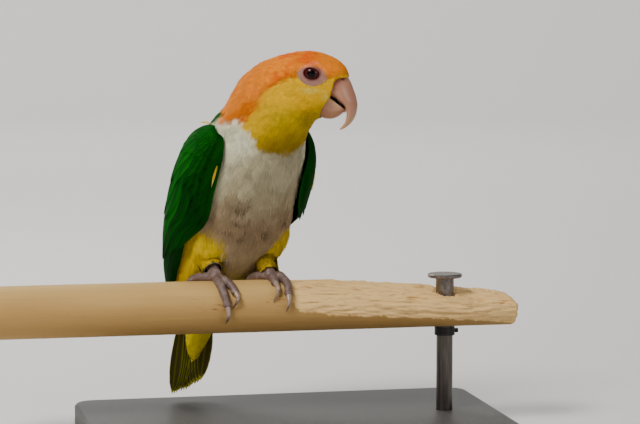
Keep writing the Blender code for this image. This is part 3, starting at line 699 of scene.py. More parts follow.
def lay_feathers(name, skin, roots, blades, segments, length, half_width, lift, mess):
    """A coat piece: fan feathers that follow the skin tailward and rise from it to the coat's surface."""
    count = len(roots)
    pattern, triangles = fan(blades, segments)
    blade, x, v = pattern[:, 0].astype(int), pattern[:, 1], pattern[:, 2]

    def uneven(spread):
        return RNG.normal(0, spread, (count, blades))[:, blade]

    path = feather_paths(skin, roots, length * RNG.uniform(0.85, 1.15, count), mess)
    along = np.clip(v * (1 + uneven(0.07 * mess)), 0, 1) * (FEATHER_STEPS - 1)
    low = np.minimum(along.astype(int), FEATHER_STEPS - 2)
    share = (along - low)[..., None]
    row = np.arange(count)[:, None]
    middle, outward, sideways = (item[row, low] * (1 - share) + item[row, low + 1] * share for item in path)
    across = x + uneven(0.05 * mess) * v
    rise = (lift * RNG.uniform(0.75, 1.2, count))[:, None]
    height = (rise + ROOT_DEPTH) * v ** 0.8 - ROOT_DEPTH + uneven(0.06 * mess) * rise * v
    height = height - 0.12 * half_width[:, None] * across ** 2
    points = middle + unit(outward) * height[..., None]
    points = points + unit(sideways) * (across * half_width[:, None])[..., None]
    seen = path[0][:, 2] * 0.6 + path[0][:, 3] * 0.4
    tone = 1 + RNG.normal(0, TINT, (count, 1)) + uneven(TINT / 2)
    # painted shade: each feather is darker towards its root, where the feathers over it shade it
    tone = tone * (0.78 + 0.22 * np.clip(v * 1.5, 0, 1))
    colours = markings(seen)[:, None] * tone[..., None]
    feather_piece(name, points, colours, path[0][:, 0], pattern, triangles, bpy.data.materials["plumage"])


def make_skin_object(skin, finish):
    """The skin itself, carrying the coat's markings darkened as painted shade under the feathers."""
    angle = skin.angle[skin.triangles]
    crossing = angle.max(axis=1, keepdims=True) - angle.min(axis=1, keepdims=True) > 180
    angle = np.where(crossing & (angle < 0), np.minimum(angle + 360, 186), angle)
    layout = unwrapped(skin.station[skin.triangles], angle)
    # painted shade: the skin is darker than the coat, for the shade deep under the feathers
    colours = markings(skin.points) * 0.82
    return mesh_object("skin", skin.points, skin.triangles, finish, colours, OFBake=layout)


def coat_regions(skin):
    """Rows of a coat piece's name, where on the skin it grows, the gap between its feathers, and their blades
    and segments."""
    middle = skin.points[skin.triangles].mean(axis=1)
    station, angle = skin.station[skin.triangles].mean(axis=1), skin.angle[skin.triangles[:, 0]]
    bare = wing_cover(station, angle) < 5
    thigh = thigh_share(middle) >= 0.5
    ahead, _, up = to_head(middle)
    lids = lid_distance(middle)
    bill_height = 3.4 + 0.7 * np.maximum(ahead - 29, 0)
    bill = (station > 15) & (ahead > 26.0 - 0.25 * np.maximum(up, 0)) & (up < bill_height)
    head = (station >= HEAD_STATION) & (lids > 1.0) & ~bill
    neck = (station < HEAD_STATION) & (station >= NECK_STATION) & bare
    trunk = (station < NECK_STATION) & bare & ~thigh
    front = trunk & (np.abs(angle) < 110)
    breast, vent, tail = station >= BREAST_STATION, station <= VENT_STATION, station <= TAIL_STATION
    face_gap = np.clip(0.6 + 0.02 * (lids - 1), 0.6, 0.75)
    return (
        ("coat_face", head & (ahead > 4), face_gap, 4, 2),
        ("coat_crown", head & (ahead <= 4), 0.95, 5, 3),
        ("coat_neck", neck, 1.45, 7, 3),
        ("coat_breast", front & breast, 1.9, 9, 4),
        ("coat_belly", front & ~breast & ~vent, 1.9, 9, 4),
        ("coat_back", trunk & (np.abs(angle) >= 110) & (station > 2.5), 2.2, 7, 4),
        ("coat_vent", front & vent & ~tail, 1.7, 9, 4),
        ("coat_undertail", trunk & tail & (np.abs(angle) < 125), 1.3, 6, 3),
        ("coat_thighs", thigh & bare, 1.25, 6, 3),
    )


# How long the feathers are by station, in millimetres, and their half width as a share of it
COAT_LENGTHS = (
    (2, 12), (4, 12), (6, 13), (8, 14), (10, 13), (11, 10.5), (12, 8), (13, 5.5), (14, 4.6), (16, 3.0),
    (18, 1.8),
)
COAT_WIDTHS = ((2, 0.22), (8, 0.26), (12, 0.24), (16, 0.22), (18, 0.2))
SHORT_FEATHERS = {"coat_thighs": 7.5, "coat_undertail": 7.0}
LOOSE_PIECES = ("coat_thighs", "coat_vent", "coat_undertail")


def make_coat(skin):
    """Every small feather, region by region."""
    plumage_material("plumage")
    for name, keep, gap, blades, segments in coat_regions(skin):
        roots = scattered(skin, keep, np.broadcast_to(gap, keep.shape))
        station, _, _ = body_places(roots)
        lengths = read_off(station, COAT_LENGTHS)
        if name in SHORT_FEATHERS:
            lengths = np.full(len(roots), SHORT_FEATHERS[name])
        widths = lengths * read_off(station, COAT_WIDTHS)
        lift = coat_depth(station, thigh_share(roots))
        if name == "coat_undertail":
            lift = lift + 0.5
        mess = 1.6 if name in LOOSE_PIECES else 1.0
        lay_feathers(name, skin, roots, blades, segments, lengths, widths, lift, mess)


def settled(grid):
    """A grid smoothed a little down its rows."""
    for _ in range(6):
        grid[1:-1] = 0.25 * grid[:-2] + 0.5 * grid[1:-1] + 0.25 * grid[2:]
    return grid


class FoldedWing:
    """A folded wing's outer surface, by share down it (s) and from its front edge to its rear one (c)."""

    def __init__(self, sign):
        rows = smooth_rows(WING, 145)
        heights, thickness, rear = rows[:, :1], rows[:, 4:], rows[:, 3:4]
        front = rows[:, 2:3] if sign > 0 else rows[:, 1:2]
        sections = BODY_ROWS[np.argmin(np.abs(BODY_ROWS[:, 2] - heights), axis=1)]
        self.columns = np.linspace(-0.3, 1.3, 65)
        self.gap = self.columns[1] - self.columns[0]
        inside = np.clip(self.columns, 0, 1)
        swell = 0.35 + 0.65 * np.sin(np.pi * np.minimum(1, inside * 0.9 + 0.1)) ** 0.7
        angle = sign * (front + (rear - front) * self.columns)
        outward = UNDER_WING + thickness * swell * step(self.columns, -0.035, 0.05)
        repeated = np.repeat(sections[:, None], len(self.columns), axis=1)
        self.grid = settled(section_points(repeated, angle, outward))
        down, across = np.gradient(self.grid, axis=0), np.gradient(self.grid, axis=1)
        self.normals = unit(np.cross(across, down)) * -sign
        self.span = np.linalg.norm(across, axis=2).mean(axis=1) / self.gap

    def at(self, s, c):
        """Points and outward directions."""
        row = np.clip(s, 0, 1) * (len(self.grid) - 1)
        column = (np.clip(c, self.columns[0], self.columns[-1]) - self.columns[0]) / self.gap
        i = np.minimum(row.astype(int), len(self.grid) - 2)
        j = np.minimum(column.astype(int), len(self.columns) - 2)
        a, b = (row - i)[..., None], (column - j)[..., None]

        def read(table):
            top = table[i, j] * (1 - b) + table[i, j + 1] * b
            low = table[i + 1, j] * (1 - b) + table[i + 1, j + 1] * b
            return top * (1 - a) + low * a

        return read(self.grid), unit(read(self.normals))

    def width(self, s):
        """Millimetres from the front edge to the rear one."""
        return np.interp(s, np.linspace(0, 1, len(self.span)), self.span)


class TailSheet:
    """A sheet through the middle of the tail, by share down it (s) and from right to left (c)."""

    def __init__(self):
        self.rows = smooth_rows(TAIL, 49)

    def at(self, s, c):
        """Points of the sheet and the directions out of the tail's upper side."""
        place = np.clip(s, 0, 1.08) * (len(self.rows) - 1)
        i = np.minimum(place.astype(int), len(self.rows) - 2)
        t = (place - i)[..., None]
        rows = self.rows[i] * (1 - t) + self.rows[i + 1] * t
        side, front, _ = section_axes(rows)
        x = (2 * c - 1)[..., None]
        return rows[..., :3] + side * (x * TAIL_SHEET / 2) + front * (1.2 * x ** 2), -front

    def width(self, s):
        """Millimetres across the sheet."""
        return np.full(np.shape(s), TAIL_SHEET)


def outline(v, point):
    """Share of a quill's full width at a share of its length; point is 0 for a round tip, 1 for a sharp."""
    tip = np.clip((v - 0.55 + 0.25 * point) / (0.45 + 0.25 * point), 0, 1)
    return np.minimum(1, 0.5 + 1.1 * v) * (1 - tip ** (2.6 - 0.8 * point)) ** (0.55 + 0.3 * point)


def quills(name, surface, plans, colouring, finish, rows=15, columns=9, wear=0.02):
    """A piece of long feathers on a surface.  A plan is (s and c of the root, s and c of the tip, half width,
    lift at root and tip, tilt, point); colouring gives upper and under colours from a plan, v and x."""
    v, x = np.meshgrid(np.linspace(0, 1, rows), np.linspace(-1, 1, columns), indexing="ij")
    cells = math.ceil(math.sqrt(len(plans)))
    points, colours, layout = [], [], []
    for number, plan in enumerate(plans):
        s0, c0, s1, c1, half, low, high, tilt, point = plan
        s = s0 + (s1 - s0) * (v - 0.072 * x ** 2 * v)
        c = c0 + (c1 - c0) * step(v, 0, 1)
        ragged = 1 + wear * RNG.normal(0, 1, (rows, 1)) * step(v, 0.3, 1)
        reach = half * outline(v, point) * ragged
        place, outward = surface.at(s, c + x * reach / np.maximum(surface.width(s0 + (s1 - s0) * v), 14))
        arch = 0.55 * (1 - x ** 2) * np.minimum(1, half / 4) - tilt * x
        shaft = 0.16 * np.exp(-(x / 0.12) ** 2) * (1 - 0.6 * v)
        upper = place + outward * (low + (high - low) * v + arch + shaft)[..., None]
        thick = 0.22 * (1 - x ** 2) * (1 - v ** 6) + 0.02
        points += [upper, upper - outward * thick[..., None]]
        colours += colouring(plan, v, x)
        for side in (0, 0.5):
            inside = np.stack([(x + 1) * 0.21 + 0.04 + side, v * 0.92 + 0.04], axis=-1)
            layout.append((inside + (number % cells, number // cells)) / cells)
    triangles = two_sided(rows, columns) + (np.arange(len(plans)) * 2 * v.size)[:, None, None]
    vane = np.broadcast_to(np.stack([x, v], axis=-1), (len(layout), rows, columns, 2))
    return mesh_object(name, points, triangles, finish, colours, OFBake=layout, Vane=vane)


def quill_material(name):
    """Long feathers: the mesh's own colours and fine barbs slanting off the shaft."""
    made = plumage_material(name, roughness=0.6, grain=0.10, specular=0.02)
    parts = add_node(made, "SeparateXYZ", {"Vector": add_node(made, "UVMap", uv_map="Vane")["UV"]})
    slanted = math_output(made, "MULTIPLY_ADD", math_output(made, "ABSOLUTE", parts["X"]), -0.16, parts["Y"])
    barbs = math_output(made, "SINE", math_output(made, "MULTIPLY", slanted, 260.0))
    add_relief(made, barbs, 0.35, 0.0002)
    return made


def spread_plans(surface, count, c_from, c_to, root, tips, half, low, high, tilt=0.35, point=0.25):
    """Plans for a row of feathers side by side on a surface, their tips' places read off a few values."""
    margin = (half - 0.4) / surface.width((root + float(np.mean(tips))) / 2)
    plans = []
    for share in np.linspace(0, 1, count):
        c = min(max(c_from + (c_to - c_from) * share, margin), 1 - margin)
        tip = np.interp(share, np.linspace(0, 1, len(tips)), tips) + RNG.normal(0, 0.004)
        tip_c, width = c + RNG.normal(0, 0.006), half * RNG.uniform(0.94, 1.06)
        plans.append((root, c, tip, tip_c, width, low, high, tilt, point))
    return plans


def wing_colouring(deep, green, bright, dark_inner):
    """Colours of wing feathers: brighter along the front edge and darker on the inner vane, with painted
    light that brightens them towards the wing's rear and painted shade that darkens them at the root."""
    def colours(plan, v, x):
        _, root_c, _, tip_c, *_ = plan
        # painted light: the shares made from rear brighten the feathers towards the wing's rear
        rear = step(tip_c, 0.12, 0.5)
        hue = (0.62 + 0.62 * rear) * (1 + 0.12 * math.sin(root_c * 97))
        upper = mix(green * hue, bright * hue, fall(x, -1.0, -0.35) * (0.35 + 0.5 * rear))
        upper = mix(upper, deep, step(x, 0.0, 0.9) * dark_inner)
        # painted shade at each feather's root, under the feathers over it
        upper = mix(upper, deep, fall(v, 0, 0.55) * 0.5)
        # painted light on the tips towards the wing's rear
        upper = mix(upper, bright, step(v, 0.93, 1.0) * 0.3 * rear)
        upper = upper * (1 - 0.35 * np.exp(-(x / 0.05) ** 2))[..., None]
        return upper, np.broadcast_to(deep * 0.9, upper.shape)

    return colours


# A few yellow feathers show on each wing: plans as for quills, by the side they are on
YELLOW_FEATHERS = {
    -1: (
        (0.20, 0.012, 0.285, 0.006, 0.55, 1.5, 2.2, -0.3, 0.4),
        (0.06, 1.08, 0.185, 1.10, 1.2, 1.4, 2.2, 0.2, 0.4),
    ),
    1: ((0.235, 0.19, 0.335, 0.18, 0.7, 1.6, 2.2, -0.3, 0.4),),
}


def yellow_colouring(_, v, x):
    """Yellow above and below, paler at the tip."""
    upper = mix(CHEEK * 0.85, PALE_FACE, 0.2 + 0.6 * step(v, 0.4, 1.0))
    return upper, upper * 0.7


PRIMARY_TIPS = (0.93, 0.965, 1.0, 0.985, 0.955, 0.92, 0.88)
SECONDARY_TIPS = (0.60, 0.66, 0.70, 0.735, 0.76, 0.77)
# The front group of coverts, whose tips step up and back from the lowest: c and s of each tip
FRONT_COVERTS = ((0.28, 0.315), (0.22, 0.345), (0.165, 0.375), (0.11, 0.405), (0.06, 0.435), (0.02, 0.452))
# Rows of small coverts, lowest first: s of root and tip, c of the last one, count and half width
LESSER_ROWS = (
    (0.15, 0.385, 0.10, 2, 4.4), (0.13, 0.335, 0.18, 3, 4.4), (0.10, 0.285, 0.27, 5, 4.2),
    (0.07, 0.24, 0.42, 7, 3.8), (0.05, 0.195, 0.98, 13, 3.5), (0.04, 0.16, 0.98, 13, 3.1),
    (0.03, 0.13, 0.98, 12, 2.7), (0.02, 0.105, 0.98, 11, 2.3),
)


def wing_core(name, surface, finish):
    """The dark closed body of a wing under its feathers, darkened as painted shade."""
    s, c = np.meshgrid(np.linspace(0.05, 0.93, 40), np.linspace(0.03, 0.97, 17), indexing="ij")
    place, outward = surface.at(s, c)
    edge = np.minimum(1, np.minimum((s - 0.04) / 0.05, np.minimum(c, 1 - c) / 0.12))
    upper = place - outward * 0.75
    under = place - outward * (0.85 + 0.9 * edge)[..., None]
    layout = np.stack([c * 0.48, s], axis=-1)
    layouts = layout, layout + (0.5, 0)
    # painted shade: the core is a darkened wing green, for the shade under the feathers
    return mesh_object(name, (upper, under), two_sided(*s.shape), finish, WING_DEEP * 0.6, OFBake=layouts)


def make_wing(name, sign):
    """A folded wing: flight feathers, then ever smaller rows of coverts over them."""
    surface = FoldedWing(sign)
    finish = quill_material(name + "_quill")
    core = wing_core(name + "_core", surface, plumage_material(name + "_under"))
    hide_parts(name)
    primaries = spread_plans(surface, 9, 0.04, 0.78, 0.42, PRIMARY_TIPS, 4.4, -0.5, -0.1, 0.3, 0.7)
    dark = wing_colouring(QUILL_DARK, WING_GREEN * 0.7, WING_BRIGHT * 0.8, 0.85)
    quills(name + "_primaries", surface, primaries, dark, finish, rows=22)
    green = wing_colouring(WING_DEEP, WING_GREEN, WING_BRIGHT, 0.75)
    secondaries = spread_plans(surface, 10, 0.04, 0.97, 0.28, SECONDARY_TIPS, 5.2, -0.3, 0.25, 0.4, 0.45)
    quills(name + "_secondaries", surface, secondaries, green, finish, rows=20)
    coverts = spread_plans(surface, 8, 0.12, 0.97, 0.12, (0.50, 0.53, 0.56, 0.55), 4.8, 0.0, 0.5, 0.4, 0.5)
    coverts += spread_plans(surface, 7, 0.30, 0.97, 0.08, (0.36, 0.41, 0.40), 4.4, 0.2, 0.8, 0.35, 0.35)
    coverts += spread_plans(surface, 6, 0.42, 0.97, 0.05, (0.26, 0.29, 0.28), 4.0, 0.3, 0.9, 0.3, 0.25)
    coverts += [(0.14, c, tip, c, 4.2, 0.6, 1.5, 0.4, 0.6) for c, tip in FRONT_COVERTS]
    quills(name + "_greater_coverts", surface, coverts, green, finish, rows=18)
    small = []
    for root, tip, last, count, half in LESSER_ROWS:
        tips = (tip + 0.004, tip, tip - 0.01)
        small += spread_plans(surface, count, 0.0, last, root, tips, half, 0.7, 1.5, 0.22, 0.1)
    bright = wing_colouring(WING_DEEP, WING_GREEN, WING_BRIGHT, 0.45)
    quills(name + "_lesser_coverts", surface, small, bright, finish, rows=9, columns=7)
    yellow = YELLOW_FEATHERS[sign]
    quills(name + "_yellow_feathers", surface, yellow, yellow_colouring, finish, rows=9, columns=7)


def tail_colouring(plan, v, x):
    """Green upper side, dark olive underside with yellow-green edges and yellowish worn tips."""
    upper = mix(WING_GREEN, WING_DEEP, step(np.abs(x), 0.1, 0.8) * 0.6)
    upper = mix(upper, TAIL_EDGE, step(v, 0.9, 1.0) * 0.6)
    under = mix(TAIL_UNDER, TAIL_EDGE, step(np.abs(x), 0.72, 1.0) * 0.8)
    under = mix(under, TAIL_TIP, step(v + 0.03 * np.sin(9 * x + 40 * plan[3]), 0.90, 0.98))
    under = mix(under, TAIL_EDGE * 0.6, 0.7 * np.exp(-(x / 0.06) ** 2))
    return upper, under


def make_tail():
    """Twelve tail feathers, the middle pair uppermost."""
    plans = []
    for pair in range(5, -1, -1):
        for sign in (-1, 1):
            aside = sign * (0.035 + 0.072 * pair)
            tip = 1.01 - (0.022 + 0.030 * sign) * pair ** 0.8 + RNG.normal(0, 0.008)
            root_c, tip_c = 0.5 + aside * (0.95 - 0.17 * sign), 0.5 + aside * (0.94 - 0.06 * sign)
            low, high = 1.25 - 0.45 * pair, 1.0 - 0.36 * pair
            plans.append((0.0, root_c, tip, tip_c, 4.4, low, high, sign * 0.1, 0.35))
    finish = quill_material("tail_quill")
    made = quills("tail_feathers", TailSheet(), plans, tail_colouring, finish, rows=22, wear=0.05)
    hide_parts("tail")


def horn_material(name, roughness, coat, scale, bump):
    """Horn, skin or enamel: the mesh's own colours with a fine bump and a thin gloss."""
    made = plumage_material(name, roughness, grain=0.05, specular=0.5)
    shade(made, Coat_Weight=coat, Coat_Roughness=0.2)
    add_relief(made, object_noise(made, scale, 4), bump)
    return made


EYE_RADIUS = 5.45
EYE_FORWARD = 9.0         # degrees the eyes look ahead of straight aside
PUPIL = 2.05
IRIS = 4.7
PUPIL_BLACK = srgb(6, 5, 6)
IRIS_RED = srgb(76, 20, 20)
IRIS_DARK = srgb(36, 9, 11)
LID_PINK = srgb(144, 101, 88)
LID_ROSE = srgb(118, 70, 63)
LID_RIM = srgb(70, 42, 36)
BROW_SHADE = np.array((0.74, 0.58, 0.3))
LID_UNDER_BROW = 1.4      # how much further the skin round an eye goes up, under the brow's feathers
OPENING_CENTRE = (14.0, 3.7)
OPENING_HALF = (4.3, 3.3)
# The head under its feathers: ahead, heights of its crown and jaw, half width
HEAD_OUTLINE = (
    (-27.5, 1.0, -5.0, 2.5), (-25.0, 4.6, -11.0, 8.5), (-20.0, 8.8, -16.0, 12.6), (-12.5, 12.0, -19.0, 15.4),
    (-3.0, 14.9, -21.2, 16.8), (8.0, 16.6, -22.4, 16.6), (17.0, 15.4, -22.8, 15.0), (24.5, 12.4, -19.0, 12.4),
    (29.5, 8.6, -11.5, 9.0), (32.3, 3.6, -4.0, 3.5),
)


def face_side(ahead, up):
    """How far out the side of the face is at a place ahead of and above the head's centre."""
    places, *profiles = zip(*HEAD_OUTLINE)
    crown, jaw, half = (np.interp(ahead, places, profile) for profile in profiles)
    height = (up - (crown + jaw) / 2) / ((crown - jaw) / 2)
    return half * np.sqrt(np.clip(1 - height ** 2, 0.02, 1))


def make_eye(name, sign, finish):
    """An eyeball: black pupil, dark red-brown iris with fine rays, and a slightly fuller front."""
    off, turn = np.meshgrid(np.linspace(0.01, math.pi * 0.72, 40), turns(64), indexing="ij")
    radius = EYE_RADIUS + 0.22 * np.exp(-(off / 0.6) ** 2)
    look = math.radians(EYE_FORWARD)
    level, out = radius * np.sin(off) * np.cos(turn), radius * np.cos(off)
    ahead = EYE_AHEAD + level * math.cos(look) + out * math.sin(look)
    up = EYE_UP + radius * np.sin(off) * np.sin(turn)
    side = sign * (EYE_ASIDE + out * math.cos(look) - level * math.sin(look))
    reach = EYE_RADIUS * np.sin(off)
    rays = 0.5 + 0.5 * np.sin(turn * 37 + 2 * np.sin(turn * 5)) * np.sin(reach * 3)
    iris = mix(IRIS_RED, IRIS_DARK, 0.35 * rays + 0.65 * step(reach, 3.4, IRIS))
    iris = mix(iris, IRIS_DARK, step(-reach, -PUPIL - 0.5, -PUPIL))
    colours = mix(PUPIL_BLACK, iris, step(reach, PUPIL - 0.12, PUPIL + 0.12))
    triangles = grid_triangles(*off.shape, flipped=sign > 0)
    made = mesh_object(name, head_to_bird(ahead, side, up), triangles, finish, colours)
    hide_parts("eye_left" if sign > 0 else "eye_right")


def rounded(value, power):
    """A sine or cosine made squarer or more pointed."""
    return np.sign(value) * np.abs(value) ** power


def lid_places(share, turn):
    """Places ahead and up from an eye's opening, at share 0, to the edge of the bare skin, at 1."""
    tilt = math.radians(LID_TILT)
    wide = 1.13 * LID_HALF_LENGTH * rounded(np.cos(turn), 2 / LID_POWER)
    high = 1.13 * LID_HALF_HEIGHT * rounded(np.sin(turn), 2 / LID_POWER)
    high = high * np.where(np.sin(turn) > 0, LID_UNDER_BROW, 1.0)
    outer_ahead = LID_CENTRE[0] + wide * math.cos(tilt) - high * math.sin(tilt)
    outer_up = LID_CENTRE[1] + wide * math.sin(tilt) + high * math.cos(tilt)
    inner_ahead = OPENING_CENTRE[0] + OPENING_HALF[0] * np.cos(turn)
    inner_up = OPENING_CENTRE[1] + OPENING_HALF[1] * np.sin(turn) - 0.12 * OPENING_HALF[0] * np.cos(turn)
    return inner_ahead + (outer_ahead - inner_ahead) * share, inner_up + (outer_up - inner_up) * share


def make_lids(name, sign, finish):
    """Bare wrinkled skin round an eye, ending in a rounded rim against the eyeball."""
    share, turn = np.meshgrid(np.linspace(-0.12, 1.0, 34), turns(96), indexing="ij")
    out = np.clip(share, 0, 1)
    ahead, up = lid_places(out, turn)
    ball = EYE_RADIUS ** 2 - (ahead - EYE_AHEAD) ** 2 - (up - EYE_UP) ** 2
    near_ball = EYE_ASIDE + np.sqrt(np.maximum(ball, 0)) + 0.42 - 0.1 * out
    lower = fall(np.sin(turn), 0, 0.3)
    face = face_side(ahead, up) - 0.75 + 0.35 * lower
    level = 0.5 * (near_ball + face + np.sqrt((near_ball - face) ** 2 + 0.8))
    brow = 0.6 * np.exp(-((up - 8.3) / 1.6) ** 2) * step(ahead, 6, 10) * fall(ahead, 16, 21)
    wave = out * 26 + 2.2 * np.sin(turn * 3) + 1.1 * np.sin(turn * 7 + 1)
    folds = 0.05 * np.sin(wave) * step(out, 0.08, 0.3) * fall(out, 0.8, 1.0)
    pebbles = 0.05 * np.sin(ahead * 9 + 3 * np.sin(up * 4)) * np.sin(up * 8 + 2 * np.sin(ahead * 5))
    rim = 0.20 * np.exp(-((out - 0.07) / 0.07) ** 2)
    tuck = 1.1 * step(out, 0.87, 0.97) * lower
    side = np.where(share < 0, near_ball + share * 7.0, level + brow + folds + pebbles + rim - tuck)
    colour = mix(LID_ROSE, LID_PINK, step(out, 0.04, 0.28))
    colour = mix(colour, LID_ROSE, step(out, 0.75, 1.0) * 0.7)
    colour = mix(colour, LID_ROSE, 0.12 + 0.10 * np.sin(wave))
    colour = mix(colour, LID_RIM, fall(share, 0.005, 0.05))
    points = head_to_bird(ahead, sign * side, up).reshape(-1, 3)
    brow_share = step(lid_distance(points), 1.0, 1.2) * step(np.sin(turn), 0.0, 0.2).ravel()
    feathery = 1 + 0.3 * field(points * (1.0, 1.0, 2.2), 1.1, 9)
    colour = mix(colour.reshape(-1, 3), BROW_SHADE * markings(points) * feathery[:, None], brow_share)
    mesh_object(name, points, grid_triangles(*turn.shape, flipped=sign > 0), finish, colour)


# Sections of the mandibles: their outer and inner points, ahead and up, and half width
UPPER_BILL = (
    ((20.0, 2.0), (15.0, -8.6), 7.0), ((28.0, 3.0), (21.0, -9.4), 7.6), ((32.0, 0.5), (24.4, -10.4), 7.2),
    ((34.5, -5.0), (27.3, -12.6), 6.5), ((36.7, -12.2), (30.2, -15.2), 5.2),
    ((36.5, -18.0), (31.1, -19.2), 3.9), ((34.4, -23.0), (30.2, -23.2), 2.7),
    ((31.0, -26.3), (28.8, -25.4), 1.5), ((27.4, -28.2), (27.0, -27.5), 0.5),
)
LOWER_BILL = (
    ((12.0, -19.4), (14.5, -7.8), 5.6), ((17.4, -21.4), (19.0, -8.0), 6.3),
    ((22.0, -22.0), (23.6, -9.8), 6.2), ((25.8, -20.8), (27.4, -13.2), 5.0),
    ((28.6, -18.8), (29.6, -15.4), 3.6), ((30.2, -17.4), (30.4, -16.5), 1.6),
)
HORN_PINK = srgb(173, 119, 92)
HORN_MAUVE = srgb(153, 98, 79)
HORN_PALE = srgb(196, 152, 110)
HORN_OCHRE = srgb(176, 134, 84)
MOUTH_SHADE = srgb(40, 22, 20)
NOSTRIL = (29.4, 4.4, 0.3)
NOSTRIL_RED = srgb(104, 30, 22)


def bill_grid(sections, rows, columns, square=1.0):
    """Head frame places of a mandible: ahead, side, up, share along it and angle round it.  Its inner side is
    the squarer the less square is."""
    table = smooth_rows([(*outer, *inner, half) for outer, inner, half in sections], rows)
    outer_ahead, outer_up, inner_ahead, inner_up, half = table.T[..., None]
    along, angle = np.meshgrid(np.linspace(0, 1, rows), turns(columns), indexing="ij")
    turn = np.cos(angle)
    share = 0.5 + 0.5 * np.where(turn < 0, -np.abs(turn) ** square, turn)
    power = np.where(turn < 0, 0.92 * square, 0.92)
    ahead = inner_ahead + (outer_ahead - inner_ahead) * share
    up = inner_up + (outer_up - inner_up) * share
    side = half * rounded(np.sin(angle), power) * (1.12 - 0.34 * turn)
    return ahead, side, up, along, angle


def off_outer(angle):
    """Angles round a mandible, brought to within half a turn of the middle of its outer side."""
    return (angle + math.pi) % math.tau - math.pi


def make_upper_bill(finish):
    """The hooked upper mandible with its fleshy cere and nostrils."""
    ahead, side, up, along, angle = bill_grid(UPPER_BILL, 90, 72)
    from_nostril = np.stack([ahead, np.abs(side), up], axis=-1) - NOSTRIL
    to_nostril = np.linalg.norm(from_nostril, axis=-1)
    cere = fall(along, 0.20, 0.27)
    swell = 0.35 * cere * np.cos(angle * 0.5) ** 2
    growth = 0.05 * np.sin(along * 60 + 2 * np.sin(angle * 2)) * step(along, 0.3, 0.45)
    ridge = 0.22 * np.exp(-(off_outer(angle) / 0.2) ** 2) * step(along, 0.2, 0.4) * fall(along, 0.6, 0.9)
    pit = 1.0 * np.exp(-(to_nostril / 0.75) ** 2) - 0.25 * np.exp(-((to_nostril - 1.3) / 0.5) ** 2)
    out = swell + growth + ridge - pit
    up = up + out * np.clip(np.cos(angle), -0.2, 1)
    side = side + out * np.sin(angle)
    ahead = ahead + out * 0.6 * np.clip(np.cos(angle), 0, 1)
    colour = mix(HORN_PINK, HORN_MAUVE, 0.35 * (np.sin(along * 23 + 3 * np.sin(angle)) * 0.5 + 0.5))
    colour = mix(colour, HORN_PALE, step(along, 0.55, 0.9))
    colour = mix(colour, HORN_OCHRE, 0.5 * step(-np.abs(off_outer(angle - math.pi)), -0.9, -0.2))
    colour = mix(colour, HORN_MAUVE, cere * 0.75)
    colour = mix(colour, NOSTRIL_RED, np.exp(-(to_nostril / 0.85) ** 4))
    # painted shade inside the mouth, on the upper mandible's inner side near its root
    colour = mix(colour, MOUTH_SHADE, fall(np.cos(angle), -0.95, -0.78) * fall(along, 0.3, 0.45))
    triangles = grid_triangles(*angle.shape, flipped=True)
    made = mesh_object("bill_upper_horn", head_to_bird(ahead, side, up), triangles, finish, colour)
    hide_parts("bill_upper")


def make_lower_bill(finish):
    """The scoop-shaped lower mandible."""
    ahead, side, up, along, angle = bill_grid(LOWER_BILL, 60, 64, 0.45)
    inner = -np.cos(angle)
    up = up - 2.6 * step(inner, 0.75, 0.99) * step(along, 0.3, 0.55) * fall(along, 0.85, 0.99)
    hue = np.sin(along * 19 + 3 * np.sin(angle)) * 0.5 + 0.5
    colour = mix(HORN_PINK * 0.92, HORN_OCHRE, 0.4 * hue * step(along, 0.2, 0.6))
    colour = mix(colour, HORN_PALE, step(inner, -0.1, 0.5) * 0.6)
    # painted shade inside the mouth, on the lower mandible's inner side
    colour = mix(colour, MOUTH_SHADE, step(inner, 0.72, 0.9) * fall(along, 0.6, 0.9))
    triangles = grid_triangles(*angle.shape)
    made = mesh_object("bill_lower_horn", head_to_bird(ahead, side, up), triangles, finish, colour)
    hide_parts("bill_lower")


def make_mouth(finish):
    """The inside of the mouth behind the gap between the mandibles, dark as painted shade."""
    off, turn = np.meshgrid(np.linspace(0, math.pi, 16), turns(24), indexing="ij")
    back = 6.2 * np.cos(off)
    side = 4.3 * np.sin(off) * np.cos(turn)
    up = -11.2 - 0.75 * back + 2.2 * np.sin(off) * np.sin(turn)
    mesh_object("mouth", head_to_bird(22.4 + back, side, up), grid_triangles(*off.shape), finish, MOUTH_SHADE)


def make_face():
    """Eyes, lids and bill."""
    eye = horn_material("eye_wet", 0.12, coat=0.22, scale=700, bump=0.0)
    shade(eye, Specular_IOR_Level=0.02, Coat_Roughness=0.02)
    lids = horn_material("lid_skin", 0.6, coat=0.0, scale=1400, bump=0.35)
    horn = horn_material("bill_horn_finish", 0.42, coat=0.2, scale=500, bump=0.12)
    for side, sign in (("left", 1), ("right", -1)):
        make_eye("eyeball_" + side, sign, eye)
        make_lids("lids_" + side, sign, lids)
    make_upper_bill(horn)
    make_lower_bill(horn)
    make_mouth(lids)


